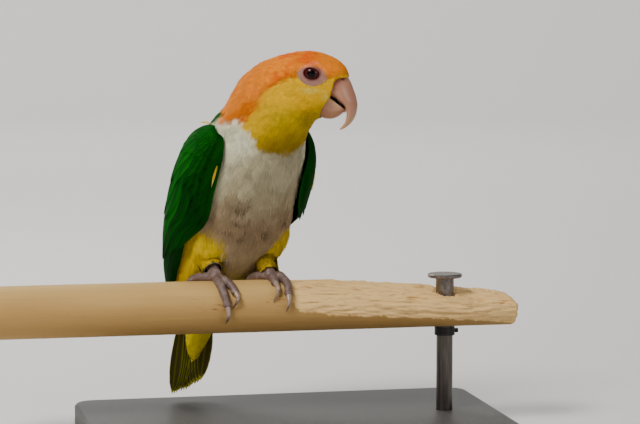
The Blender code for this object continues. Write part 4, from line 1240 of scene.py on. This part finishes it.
# Feet: where along the perch the leg stands, then the path of each toe and of its claw, with each place as
# distance along the perch and degrees round it from its top towards -Y
RIGHT_FOOT = (-20, (
    (((-20, 4), (-15.8, 22), (-12.6, 39), (-11.1, 52)), ((-9.8, 69), (-12.6, 88))),
    (((-20, 4), (-19, 34), (-17.4, 59), (-16, 79)), ((-15.4, 99), (-16.4, 121))),
    (((-20, 0), (-25.5, -8), (-31, -24), (-35.5, -58)), ((-37, -82), (-37.5, -104))),
    (((-20, -4), (-17.6, -32), (-15.6, -66)), ((-14.8, -90), (-15.2, -112))),
))
LEFT_FOOT = (11.5, (
    (((11.5, 4), (12.2, 17), (12.8, 31)), ((13.6, 53), (10.8, 77))),
    (((11.5, 4), (16.6, 11), (19.5, 34), (19.6, 59)), ((19.2, 78), (18.2, 97))),
    (((11.5, 0), (17.5, -12), (21.5, -38), (23.5, -68)), ((24.2, -92), (24.2, -113))),
    (((11.5, 0), (6.2, -8), (2.4, -32), (0.4, -66)), ((-0.6, -90), (-0.6, -112))),
))
ANKLE_RIGHT = (-18.2, 18.0, 27.0)
ANKLE_LEFT = (14.8, 13.2, 26.8)
TARSUS_RADIUS = 3.2
TOE_RADIUS = 2.6
PAD_RADIUS = 4.6
CLAW_RADIUS = 1.6
SCUTE_LENGTH = 1.15
FOOT_VOXEL = 0.34
FOOT_ROUNDS = 3
RING_RADIUS, RING_WALL, RING_HEIGHT, RING_PLACE = 5.7, 0.7, 4.4, 0.43
FOOT_SKIN = srgb(106, 84, 77)
FOOT_PALE = srgb(142, 120, 110)
FOOT_DARK = srgb(60, 42, 38)
CLAW_PALE = srgb(156, 130, 112)
CLAW_DARK = srgb(58, 44, 36)
RING_DARK = srgb(44, 42, 46)
RING_EDGE_HIGHLIGHT = srgb(168, 166, 168)


def on_perch(along, degrees, height):
    """A bird frame point over the perch's round surface."""
    angle = math.radians(degrees)
    reach = PERCH_RADIUS + height
    return np.array([along, -reach * math.sin(angle), reach * math.cos(angle)]) @ BODY_ROTATION


def leg_axis(foot, ankle):
    """Where a leg's axis starts over its foot, and its vector to the ankle."""
    pad = on_perch(foot[0], 0, PAD_RADIUS * 0.72)
    return pad, np.array(ankle) - pad


def across_leg(axis, towards):
    """Two directions across a leg's axis."""
    first = unit(np.cross(axis, towards))
    return first, np.cross(axis, first)


def ring_round(first, second, angles):
    """Directions at angles from a first one towards a second."""
    return first * np.cos(angles)[..., None] + second * np.sin(angles)[..., None]


def off_perch(points):
    """Directions straight out from the perch's axis, and distances from it, of bird frame points."""
    out = points @ BODY_ROTATION.T * (0, 1, 1)
    return unit(out) @ BODY_ROTATION, np.linalg.norm(out, axis=1)


def tube_grid(points, radii, rows, columns, flatten=1.0):
    """A grid of points round a smooth path, and the path's own points."""
    path = smooth_rows([(*point, radius) for point, radius in zip(points, radii)], rows)
    heading = unit(np.gradient(path[:, :3], axis=0))
    first = unit(np.cross(heading, (0.31, 0.17, 0.93)))
    second = np.cross(heading, first) * flatten
    ring = ring_round(first[:, None], second[:, None], turns(columns))
    return path[:, None, :3] + ring * path[:, None, 3:], path[:, :3]


def rounded_tube(points, radii, rows=24, columns=16):
    """A closed tube with round ends, as points and triangles."""
    grid, path = tube_grid(points, radii, rows, columns)
    start = grid[0] * 0.55 + path[0] * 0.45 - unit(path[1] - path[0]) * radii[0] * 0.6
    end = grid[-1] * 0.55 + path[-1] * 0.45 + unit(path[-1] - path[-2]) * radii[-1] * 0.6
    grid = np.concatenate([start[None], grid, end[None]])
    flat = np.vstack([grid.reshape(-1, 3), start.mean(axis=0), end.mean(axis=0)])
    return flat, capped_triangles(len(grid), columns)


def joined_tubes(pieces):
    """Overlapping closed pieces in one mesh."""
    joined = bmesh.new()
    for points, triangles in pieces:
        verts = [joined.verts.new(point) for point in bird_to_row(points)]
        for corners in triangles:
            joined.faces.new([verts[corner] for corner in corners])
    bmesh.ops.recalc_face_normals(joined, faces=joined.faces)
    mesh = bpy.data.meshes.new("pieces")
    joined.to_mesh(mesh)
    joined.free()
    return mesh


def foot_shape(foot, ankle):
    """Overlapping tubes of a foot and its bare leg, and the paths of its toes and leg."""
    pieces, paths = [], []
    for path, _ in foot[1]:
        points = [on_perch(*place, TOE_RADIUS * 0.85) for place in path]
        pieces.append(rounded_tube(points, [TOE_RADIUS * (1.08 - 0.08 * i) for i in range(len(points))]))
        paths.append(smooth_rows(points, 80))
        for along, degrees in path[1:]:
            joint = on_perch(along, degrees, TOE_RADIUS * 0.72)
            pieces.append(rounded_tube(stub(joint, 0.4), [TOE_RADIUS * 1.02] * 3, 5, 14))
    pad, axis = leg_axis(foot, ankle)
    leg = [pad, pad + axis * 0.5, pad + axis]
    pieces.append(rounded_tube(leg, [TARSUS_RADIUS * 1.2, TARSUS_RADIUS, TARSUS_RADIUS * 1.12]))
    paths.append(smooth_rows(leg, 80))
    ball = [PAD_RADIUS * 0.8, PAD_RADIUS * 0.92, PAD_RADIUS * 0.8]
    pieces.append(rounded_tube(stub(pad, 1.4), ball, 8, 20))
    return pieces, paths


def stub(middle, reach):
    """A short upright path."""
    return [middle - [0, 0, reach], middle, middle + [0, 0, reach]]


def along_paths(points, paths):
    """How far along the nearest path each point lies, with a shift from path to path."""
    lengths = [np.cumsum(np.linalg.norm(np.diff(path, axis=0, prepend=path[:1]), axis=1)) for path in paths]
    shifted = np.concatenate([length + 0.37 * number for number, length in enumerate(lengths)])
    away = np.linalg.norm(points[:, None] - np.concatenate(paths), axis=2)
    return shifted[away.argmin(axis=1)]


def make_foot(name, foot, ankle, finish):
    """A foot with its bare leg: toes with scutes on top and knobbly pads below."""
    pieces, paths = foot_shape(foot, ankle)
    points, normals, triangles = remeshed(joined_tubes(pieces), FOOT_VOXEL, FOOT_ROUNDS)
    wave = np.abs(np.sin(math.pi * along_paths(points, paths) / SCUTE_LENGTH))
    groove = np.exp(-(wave / 0.28) ** 2)
    knobs = field(points, 1.3, 9)
    outward, _ = off_perch(points)
    on_top = step((outward * normals).sum(axis=1), -0.3, 0.3)
    points = points + normals * (0.10 * knobs * (1 - on_top) - 0.16 * groove * on_top)[:, None]
    outward, reach = off_perch(points)
    points = points + outward * np.maximum(0, PERCH_RADIUS + 0.05 - reach)[:, None]
    colour = mix(FOOT_SKIN, FOOT_PALE, step(field(points, 0.35, 5), -0.2, 0.9) * 0.6)
    dark = groove * on_top * 0.75 + step(knobs, 0.3, 0.9) * 0.35
    colour = mix(colour, FOOT_DARK, np.clip(dark, 0, 1))
    made = mesh_object(name + "_skin", points, triangles, finish, colour)
    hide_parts(name)


def make_claws(side, foot, dark_from, dark_to, finish):
    """Curved claws, each let into the end of its toe, darkening between two shares of their length and
    paler down one side as a painted highlight.
    """
    rows, columns = 30, 20
    for number, (path, claw) in enumerate(foot[1], start=1):
        root = on_perch(*path[-1], TOE_RADIUS * 0.95)
        arch = on_perch(*claw[0], CLAW_RADIUS * 2.0)
        tip = on_perch(*claw[1], 0.7)
        radii = CLAW_RADIUS * 1.05, CLAW_RADIUS * 0.82, 0.16
        grid, _ = tube_grid((root, arch, tip), radii, rows, columns, 0.9)
        dark = step(np.linspace(0, 1, rows), dark_from, dark_to)[:, None]
        # painted highlight: one side of each claw is paler, as if lit
        pale = 0.5 + 0.5 * np.sin(turns(columns) + 0.6)
        colour = mix(CLAW_PALE, CLAW_DARK, np.clip(dark * (1.1 - 0.4 * pale), 0, 1))
        made = mesh_object(f"nail_{side}_{number}", grid, grid_triangles(rows, columns), finish, colour)
        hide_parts(f"claw_{side}_{number}")


def make_leg_ring(finish):
    """The dark metal ring round the right leg, its edges painted bright as a highlight."""
    pad, leg = leg_axis(RIGHT_FOOT, ANKLE_RIGHT)
    axis = unit(leg)
    angle = turns(32)
    radial = RING_RADIUS + RING_WALL / 2 * (rounded(np.cos(angle), 0.35) - 1)
    height = rounded(np.sin(angle), 0.2)
    around = ring_round(*across_leg(axis, (0.2, 0.9, 0.1)), turns(96))
    profile = around[:, None] * radial[:, None] + axis * (height * RING_HEIGHT / 2)[:, None]
    grid = pad + leg * RING_PLACE + profile
    grid = np.concatenate([grid, grid[:1]])
    # painted highlight along both edges of the ring
    colour = mix(RING_DARK, RING_EDGE_HIGHLIGHT, step(np.abs(height), 0.86, 1.0)) * np.ones((len(grid), 1, 1))
    made = mesh_object("leg_ring_metal", grid, grid_triangles(*grid.shape[:2]), finish, colour)
    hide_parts("leg_ring")


def make_fringe(name, skin, foot, ankle, low, radii, count, finish):
    """Tufts that hang from a thigh's lower end over the leg, down to a share of the way up from the foot."""
    pad, leg = leg_axis(foot, ankle)
    length, axis = np.linalg.norm(leg), unit(leg)
    pattern, triangles = fan(5, 3)
    along, across = pattern[:, 2], pattern[:, 1]
    outward = ring_round(*across_leg(axis, (1.0, 0.0, 0.0)), RNG.uniform(0, math.tau, count))
    level = RNG.uniform(0, 1.3, count)
    hang = RNG.uniform(4.0, 5.5, count)
    half = RNG.uniform(0.8, 1.3, count)
    radius = np.interp(level, (0, 0.6, 1.3), radii) + RNG.normal(0, 0.12, count)
    place = pad + axis * (length * (low + (0.95 - low) * level) + hang)[:, None]
    points = place[:, None] - axis * (hang[:, None] * along)[..., None]
    points = points + outward[:, None] * (radius[:, None] - 0.9 + 1.15 * along)[..., None]
    points = points + np.cross(axis, outward)[:, None] * (half[:, None] * across)[..., None]
    roots, _ = skin.nearest(points[:, 0])
    # painted shade: each tuft is darker towards its root, up under the thigh
    tone = 1 + RNG.normal(0, 0.08, (count, 1)) - 0.22 * (1 - along)
    colours = mix(markings(roots), THIGH, 0.85)[:, None] * tone[..., None]
    feather_piece(name, points, colours, roots, pattern, triangles, finish)


def make_legs(skin):
    """Feet, claws and the leg ring, with the tufts that hang over the legs."""
    plumage = bpy.data.materials["plumage"]
    make_fringe("coat_leg_right", skin, RIGHT_FOOT, ANKLE_RIGHT, 0.16, (6.5, 7.0, 9.0), 1000, plumage)
    make_fringe("coat_leg_left", skin, LEFT_FOOT, ANKLE_LEFT, -0.10, (5.3, 6.8, 9.2), 1100, plumage)
    bare = horn_material("foot_skin_finish", 0.58, coat=0.08, scale=1500, bump=0.4)
    claws = horn_material("claw_horn_finish", 0.3, coat=0.4, scale=600, bump=0.1)
    metal = horn_material("ring_metal_finish", 0.32, coat=0.0, scale=900, bump=0.15)
    shade(metal, Metallic=0.85)
    make_foot("foot_right", RIGHT_FOOT, ANKLE_RIGHT, bare)
    make_foot("foot_left", LEFT_FOOT, ANKLE_LEFT, bare)
    make_claws("right", RIGHT_FOOT, 0.30, 0.85, claws)
    make_claws("left", LEFT_FOOT, 0.55, 0.98, claws)
    make_leg_ring(metal)


# The perch: along it, height of the bitten face over the axis and its turn towards -Y in degrees
BITE = (
    (20, 15.6, 32), (42, 12.6, 26), (60, 10.1, 20), (99, 6.0, 15), (129, 3.4, 11), (152, 0.9, 9),
    (168, -1.6, 8),
)
# How far down its near side the perch is gnawed: along it, and degrees round it from its top
GNAWED_TO = ((22, 60), (30, 97), (45, 104), (92, 108), (119, 108), (132, 113), (152, 126), (162, 150))
NOTCH_X, NOTCH_LOW = 121.5, 3.4
NO_BITE = 99.0            # a reach beyond the perch, where the bite doesn't cut it
SPLINTERS = 80
PERCH_DEGREES = np.arange(0, 360, 2.0)
WOOD = srgb(202, 166, 100)
WOOD_SHADE = srgb(170, 128, 66)
WOOD_UNDER_SHADE = srgb(168, 128, 70)
WOOD_FRESH = srgb(233, 192, 126)
WOOD_STAIN = srgb(140, 92, 44)
WOOD_SPECK = srgb(84, 54, 28)


def off_top(degrees):
    """Angles round the perch brought to -180 to 180 from its top."""
    return np.where(degrees > 180, degrees - 360, degrees)


def wood_noise(along, around, across_scale, along_scale, seed):
    """Smooth pseudo-random values stretched along the grain, at places along and around the perch."""
    places = zip((along * along_scale).ravel(), (around * across_scale).ravel())
    values = [noise.noise(Vector((a, b, seed))) for a, b in places]
    return np.reshape(values, along.shape) * 1.6


def bite_relief(along, across):
    """How far the gnawed face rises, in millimetres: long fibres, tooth scoops and small chips."""
    fibres = 0.42 * wood_noise(along, across, 0.55, 0.030, 1.0)
    fibres = fibres + 0.16 * wood_noise(along, across, 1.9, 0.07, 2.0)
    scoops = wood_noise(along, across, 0.34, 0.055, 3.0)
    scoops = -1.3 * np.abs(scoops) ** 1.5 - 0.45 * step(wood_noise(along, across, 0.5, 0.06, 4.0), 0.1, 0.3)
    chips = 0.10 * wood_noise(along, across, 1.3, 0.30, 5.0) + 0.06 * wood_noise(along, across, 2.9, 0.6, 6.0)
    return 0.75 + fibres + scoops + chips


def bite_turn(along):
    """How far the bitten face is turned towards -Y, in radians."""
    return np.radians(read_off(along, [(place, lean) for place, _, lean in BITE]))


def bite_reach(along, angle, centre_z, sink):
    """How far the bitten face and its notch lie from the sunken centre of the perch's sections."""
    height = read_off(along, [(place, height) for place, height, _ in BITE]) + sink
    turn = bite_turn(along)
    slope = np.cos(angle - turn)
    facing, steep = slope > 0.08, np.maximum(slope, 0.08)
    reach = np.where(facing, height / steep, NO_BITE)
    for _ in range(3):
        across = np.minimum(reach, 24) * np.sin(angle - turn)
        relief = bite_relief(along, across)
        reach = np.where(facing, (height + relief * step(along, 14, 30)) / steep, NO_BITE)
    past = along - NOTCH_X
    dent = NOTCH_LOW + np.maximum(-0.5 * past, past - 2.8) + 0.4 * bite_relief(along, across)
    up = np.cos(angle)
    dent_reach = np.where(up > 0.1, (dent - centre_z) / np.maximum(up, 0.1), NO_BITE)
    return np.where(np.abs(past) < 14, np.minimum(reach, dent_reach), reach)


def perch_surface(along, degrees):
    """Perch frame points at places along the perch and angles round it, and how far each lies in the bite."""
    turn, angle = bite_turn(along), np.radians(degrees)
    sink = 6.0 * step(along, 20, 150)
    centre_y, centre_z = sink * np.sin(turn), -sink * np.cos(turn)
    dir_y, dir_z = -np.sin(angle), np.cos(angle)
    ahead = centre_y * dir_y + centre_z * dir_z
    round_reach = np.sqrt(ahead ** 2 + PERCH_RADIUS ** 2 - sink ** 2) - ahead
    flat_reach = bite_reach(along, angle, centre_z, sink)
    wide = off_top(degrees)
    edge = read_off(along, GNAWED_TO) + 5 * wood_noise(along, along * 0, 0.1, 0.11, 9.0)
    edge = edge + 2.5 * wood_noise(along, degrees, 0.12, 0.5, 10.0) - wide
    inside = step(edge, 0.0, 3.0) * step(along, 24, 31)
    gnawed = inside * (0.55 + 0.9 * step(edge, 0, 60) - 0.75 * bite_relief(along, 0.26 * wide))
    bark = 0.05 * wood_noise(along, degrees, 0.09, 0.02, 8.0)
    reach = np.minimum(round_reach + bark - np.maximum(gnawed, 0.12 * inside), flat_reach)
    bitten = np.maximum(step(round_reach - flat_reach, 0.0, 0.35), inside)
    y, z = centre_y + reach * dir_y, centre_z + reach * dir_z
    around_shank = np.exp(-((np.hypot(along - ROD_X, y) - 5.9) / 0.55) ** 2) * (z > 0)
    return np.stack([along, y, z - 1.6 * around_shank], axis=-1), bitten


def perch_colours(along, degrees, bitten):
    """Colours of the wood: a smooth yellowish surface with faint grain, darker round its lower part as
    painted shade, and pale torn fibres where it is gnawed."""
    streaks = wood_noise(along, degrees, 0.5, 0.012, 11.0)
    clouds = wood_noise(along, degrees, 0.03, 0.02, 12.0)
    smooth = mix(WOOD, WOOD_SHADE, np.clip(0.30 + 0.30 * streaks + 0.25 * clouds, 0, 1) * 0.6)
    # painted shade: darker, browner wood round the lower part of the perch
    smooth = mix(smooth, WOOD_UNDER_SHADE, 0.8 * step(np.abs(degrees) + 6 * clouds, 38, 95))
    speck = wood_noise(along, degrees, 0.35, 0.55, 13.0) - 0.12 * np.abs((degrees - 82) / 3) - 0.1
    specked = step(along, -34, -28) * fall(along, -14, -6)
    smooth = mix(smooth, WOOD_SPECK, step(speck, 0.1, 0.5) * specked * 0.8)
    scratch = wood_noise(along, degrees, 0.22, 0.35, 14.0) - 0.03 * np.abs(degrees - 72)
    scratched = step(along, 6, 12) * fall(along, 34, 44)
    smooth = mix(smooth, WOOD_STAIN, step(scratch, 0.15, 0.55) * scratched * 0.6)
    torn = wood_noise(along, degrees, 0.30, 0.10, 15.0) + 0.5 * wood_noise(along, degrees, 0.9, 0.3, 16.0)
    fresh = mix(WOOD_FRESH, WOOD_STAIN, step(torn, 0.3, 1.1) * 0.5)
    lines = wood_noise(along, degrees, 1.6, 0.05, 17.0)
    fresh = mix(fresh, WOOD_STAIN, step(lines, 0.3, 0.9) * 0.2)
    return mix(smooth, fresh, bitten)


def wood_material():
    """Turned wood: the mesh's own colours with fine fibres along the perch."""
    made = plumage_material("perch_wood_finish", roughness=0.7, grain=0.06, specular=0.35)
    add_relief(made, object_noise(made, 1, 5, (60, 1500, 1500)), 0.5)
    return made


def perch_to_bird(points):
    """Perch frame points in the bird frame."""
    return (points + (0.0, 0.0, PERCH_Z) - BIRD_ORIGIN) @ BODY_ROTATION


def broken_end(rim, x):
    """Rings of the perch's torn free end, from its rim towards the middle."""
    around = off_top(PERCH_DEGREES)
    torn = 1.1 * wood_noise(around * 0 + PERCH_LENGTH / 2, around, 0.06, 0.3, 21.0)
    torn = torn + 0.5 * wood_noise(around * 0, around, 0.3, 0.3, 22.0)
    middle = rim.mean(axis=0)
    rings = []
    for share, ahead in ((0.975, 0.9), (0.92, 1.9), (0.82, 2.4), (0.6, 2.7), (0.35, 2.5), (0.12, 2.8)):
        ring = middle + (rim - middle) * share
        ring[:, 0] = x + ahead - 0.8 * np.abs(torn) * min(1, (1 - share) * 8)
        rings.append(ring)
    return rings


def make_perch():
    """The round perch, gnawed towards its free end."""
    half = PERCH_LENGTH / 2
    places = np.concatenate([np.linspace(-half, 10, 60), np.arange(11, half - 1.5, 0.5)])
    along, around = np.meshgrid(places, PERCH_DEGREES, indexing="ij")
    points, bitten = perch_surface(along, around)
    colours = perch_colours(along, off_top(around), bitten)
    start, middle = points[0].mean(axis=0), points[-1].mean(axis=0)
    lids = [start + (points[0] - start) * share for share in (0.12, 0.6, 0.985)]
    ends = broken_end(points[-1], places[-1])
    points[0, :, 0] += 0.25
    grid = np.concatenate([lids, points, ends])
    stained = mix(colours[-1], WOOD_STAIN, 0.25)
    tones = np.concatenate([[colours[0] * 0.9] * len(lids), colours, [stained] * len(ends)])
    flat = np.vstack([grid.reshape(-1, 3), start, middle + [2.8, 0, 0]])
    tones = np.vstack([tones.reshape(-1, 3), WOOD_SHADE, WOOD_FRESH])
    triangles = capped_triangles(*grid.shape[:2])
    made = mesh_object("perch_wood", perch_to_bird(flat), triangles, wood_material(), tones)
    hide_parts("perch")
    make_splinters(points, places)


def make_splinters(surface, places):
    """Thin slivers lifting off the gnawed face."""
    points, tones = [], []
    columns = surface.shape[1]
    for _ in range(SPLINTERS):
        row = RNG.integers(int(np.searchsorted(places, 30)), len(places) - 24)
        column = RNG.integers(-34, 45) % columns
        length, half, lift = RNG.uniform(3, 9), RNG.uniform(0.15, 0.55), RNG.uniform(0.2, 1.0)
        forward = RNG.choice((-1, 1))
        root = surface[row, column]
        outward = unit(root - np.array([root[0], 0, -8.0]))
        for t in np.linspace(0, 1, 5):
            spine = surface[int(np.clip(row + forward * t * length * 2, 0, len(places) - 1)), column]
            spine = spine + outward * (0.02 + lift * t ** 2 * 0.8)
            side = np.cross(outward, [1.0, 0, 0]) * half * (1 - t ** 1.5)
            low = outward * 0.15 * (1 - t)
            points += [spine - side - low, spine + side - low, spine]
            tones += [mix(WOOD_FRESH, WOOD_STAIN, 0.3 * RNG.random()) for _ in range(3)]
    triangles = grid_triangles(5, 3, flipped=True) + 15 * np.arange(SPLINTERS)[:, None, None]
    finish = bpy.data.materials["perch_wood_finish"]
    mesh_object("splinters", perch_to_bird(np.array(points)), triangles, finish, tones)


def metal_material(name, colour, roughness, streaks):
    """Worn metal with fine marks."""
    made = new_material(name, Metallic=1.0)
    grain = object_noise(made, 1, 4, streaks)
    add_ramp(made, grain, (0.3, colour * 0.55), (0.7, colour))
    wear = {"Value": grain, "To Min": roughness * 0.7, "To Max": min(1.0, roughness * 1.4)}
    shade(made, Roughness=add_node(made, "MapRange", wear)["Result"])
    add_relief(made, grain, 0.2, 0.0002)
    return made


def base_material():
    """The stand's base: matt dark lacquer with a fine grain."""
    made = new_material("base_lacquer", Roughness=0.5)
    grain = object_noise(made, 600, 5)
    add_ramp(made, grain, (0.0, (0.035, 0.033, 0.031)), (1.0, (0.060, 0.057, 0.054)))
    add_relief(made, grain, 0.15, 0.0002)
    return made


CAP_STEEL = np.array([0.24, 0.21, 0.19])
ROD_STEEL = np.array([0.14, 0.12, 0.11])
COLLAR_STEEL = np.array([0.05, 0.045, 0.045])


def dress(node, finish):
    """Give a solid node a finish of its own."""
    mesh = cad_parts[node].data
    mesh.materials.clear()
    mesh.materials.append(finish)


def dress_stand():
    """Finishes of the stand's parts, which show as they are."""
    dress("stand_cap", metal_material("cap_steel", CAP_STEEL, 0.42, (500, 500, 500)))
    dress("stand_rod", metal_material("stand_steel", ROD_STEEL, 0.36, (900, 900, 60)))
    dress("stand_collar", metal_material("collar_steel", COLLAR_STEEL, 0.5, (700, 700, 700)))
    dress("stand_base", base_material())


def look_at(obj, place, direction):
    """Point a camera or light from a place along a direction."""
    obj.location = place
    obj.rotation_mode = "QUATERNION"
    obj.rotation_quaternion = Vector(direction).to_track_quat("-Z", "Y")


# The studio, in degrees and metres
AZIMUTH = -12
ELEVATION = 5.5
DISTANCE = 1.371          # of the camera from its target
ASIDE, ABOVE = 0.0400, 0.0537     # how far its target lies from the bird's origin, across the view
FLOOR_REACH = 3.2         # from the middle to where the floor starts to curve up
FLOOR_TOP = 3.2


def make_camera():
    """The camera: a long lens a little to the bird's right and just above it, framed wide of the bird."""
    azimuth, elevation = math.radians(AZIMUTH), math.radians(ELEVATION)
    right = Vector((math.cos(azimuth), math.sin(azimuth), 0))
    level = Vector((-math.sin(azimuth), math.cos(azimuth), 0))
    view = level * math.cos(elevation) - Vector((0, 0, math.sin(elevation)))
    target = Vector(BIRD_ORIGIN) * MM + right * ASIDE + right.cross(view) * ABOVE
    camera = bpy.data.objects.new("camera", bpy.data.cameras.new("camera"))
    camera.data.lens = 135
    camera.data.sensor_width = 36
    look_at(camera, target - view * DISTANCE, view)
    bpy.context.scene.collection.objects.link(camera)
    bpy.context.scene.camera = camera


def area_light(name, place, aim, size, power, colour):
    """A square soft light."""
    light = bpy.data.lights.new(name, "AREA")
    light.size = size
    light.energy = power
    light.color = colour
    made = bpy.data.objects.new(name, light)
    look_at(made, place, Vector(aim) - Vector(place))
    bpy.context.scene.collection.objects.link(made)


def make_floor(finish):
    """A wide flat floor whose rim curves up all round, so that every side has the same plain background."""
    profile = [(FLOOR_REACH, 0.0)]
    profile += [(FLOOR_REACH + math.sin(a), 1 - math.cos(a)) for a in np.radians(np.arange(10, 91, 10))]
    profile.append((FLOOR_REACH + 1, FLOOR_TOP))
    turn = turns(96)
    points = [(reach * math.cos(t), reach * math.sin(t), height) for reach, height in profile for t in turn]
    triangles = grid_triangles(len(profile), len(turn), flipped=True)
    middle = cap_triangles(0, len(turn), len(points), flipped=True)
    mesh = bpy.data.meshes.new("studio_floor")
    mesh.from_pydata([*points, (0.0, 0.0, 0.0)], [], [*triangles.tolist(), *middle.tolist()])
    mesh.shade_smooth()
    mesh.materials.append(finish)
    floor = bpy.data.objects.new("studio_floor", mesh)
    bpy.context.scene.collection.objects.link(floor)


def make_studio():
    """A pale floor, soft lights and a dim even surround."""
    make_floor(new_material("studio_floor", Roughness=0.8, Base_Color=(0.78, 0.77, 0.75, 1)))
    area_light("key", (-0.75, -0.75, 1.15), (0.0, 0.0, 0.14), 0.45, 22, (1.0, 0.97, 0.92))
    area_light("fill", (1.1, -1.2, 0.55), (0.0, 0.0, 0.12), 0.5, 5.5, (0.93, 0.96, 1.0))
    area_light("back", (-0.35, 0.9, 0.95), (0.0, 0.0, 0.14), 0.5, 7, (1.0, 0.98, 0.95))
    area_light("backdrop", (0.0, 1.6, 2.6), (0.0, 4.2, 0.5), 1.6, 90, (1.0, 1.0, 1.0))
    world = bpy.data.worlds.new("studio")
    world.use_nodes = True
    connect(world, world.node_tree.nodes["Background"], {"Color": (0.75, 0.78, 0.82, 1), "Strength": 0.15})
    bpy.context.scene.world = world


def main():
    """Build the looks."""
    skin = Skin()
    made = make_skin_object(skin, plumage_material("skin_plumage"))
    for node in FLESH:
        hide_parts(node)
    make_coat(skin)
    make_wing("wing_right", -1)
    make_wing("wing_left", 1)
    make_tail()
    make_face()
    make_legs(skin)
    make_perch()
    dress_stand()
    make_camera()
    make_studio()


main()
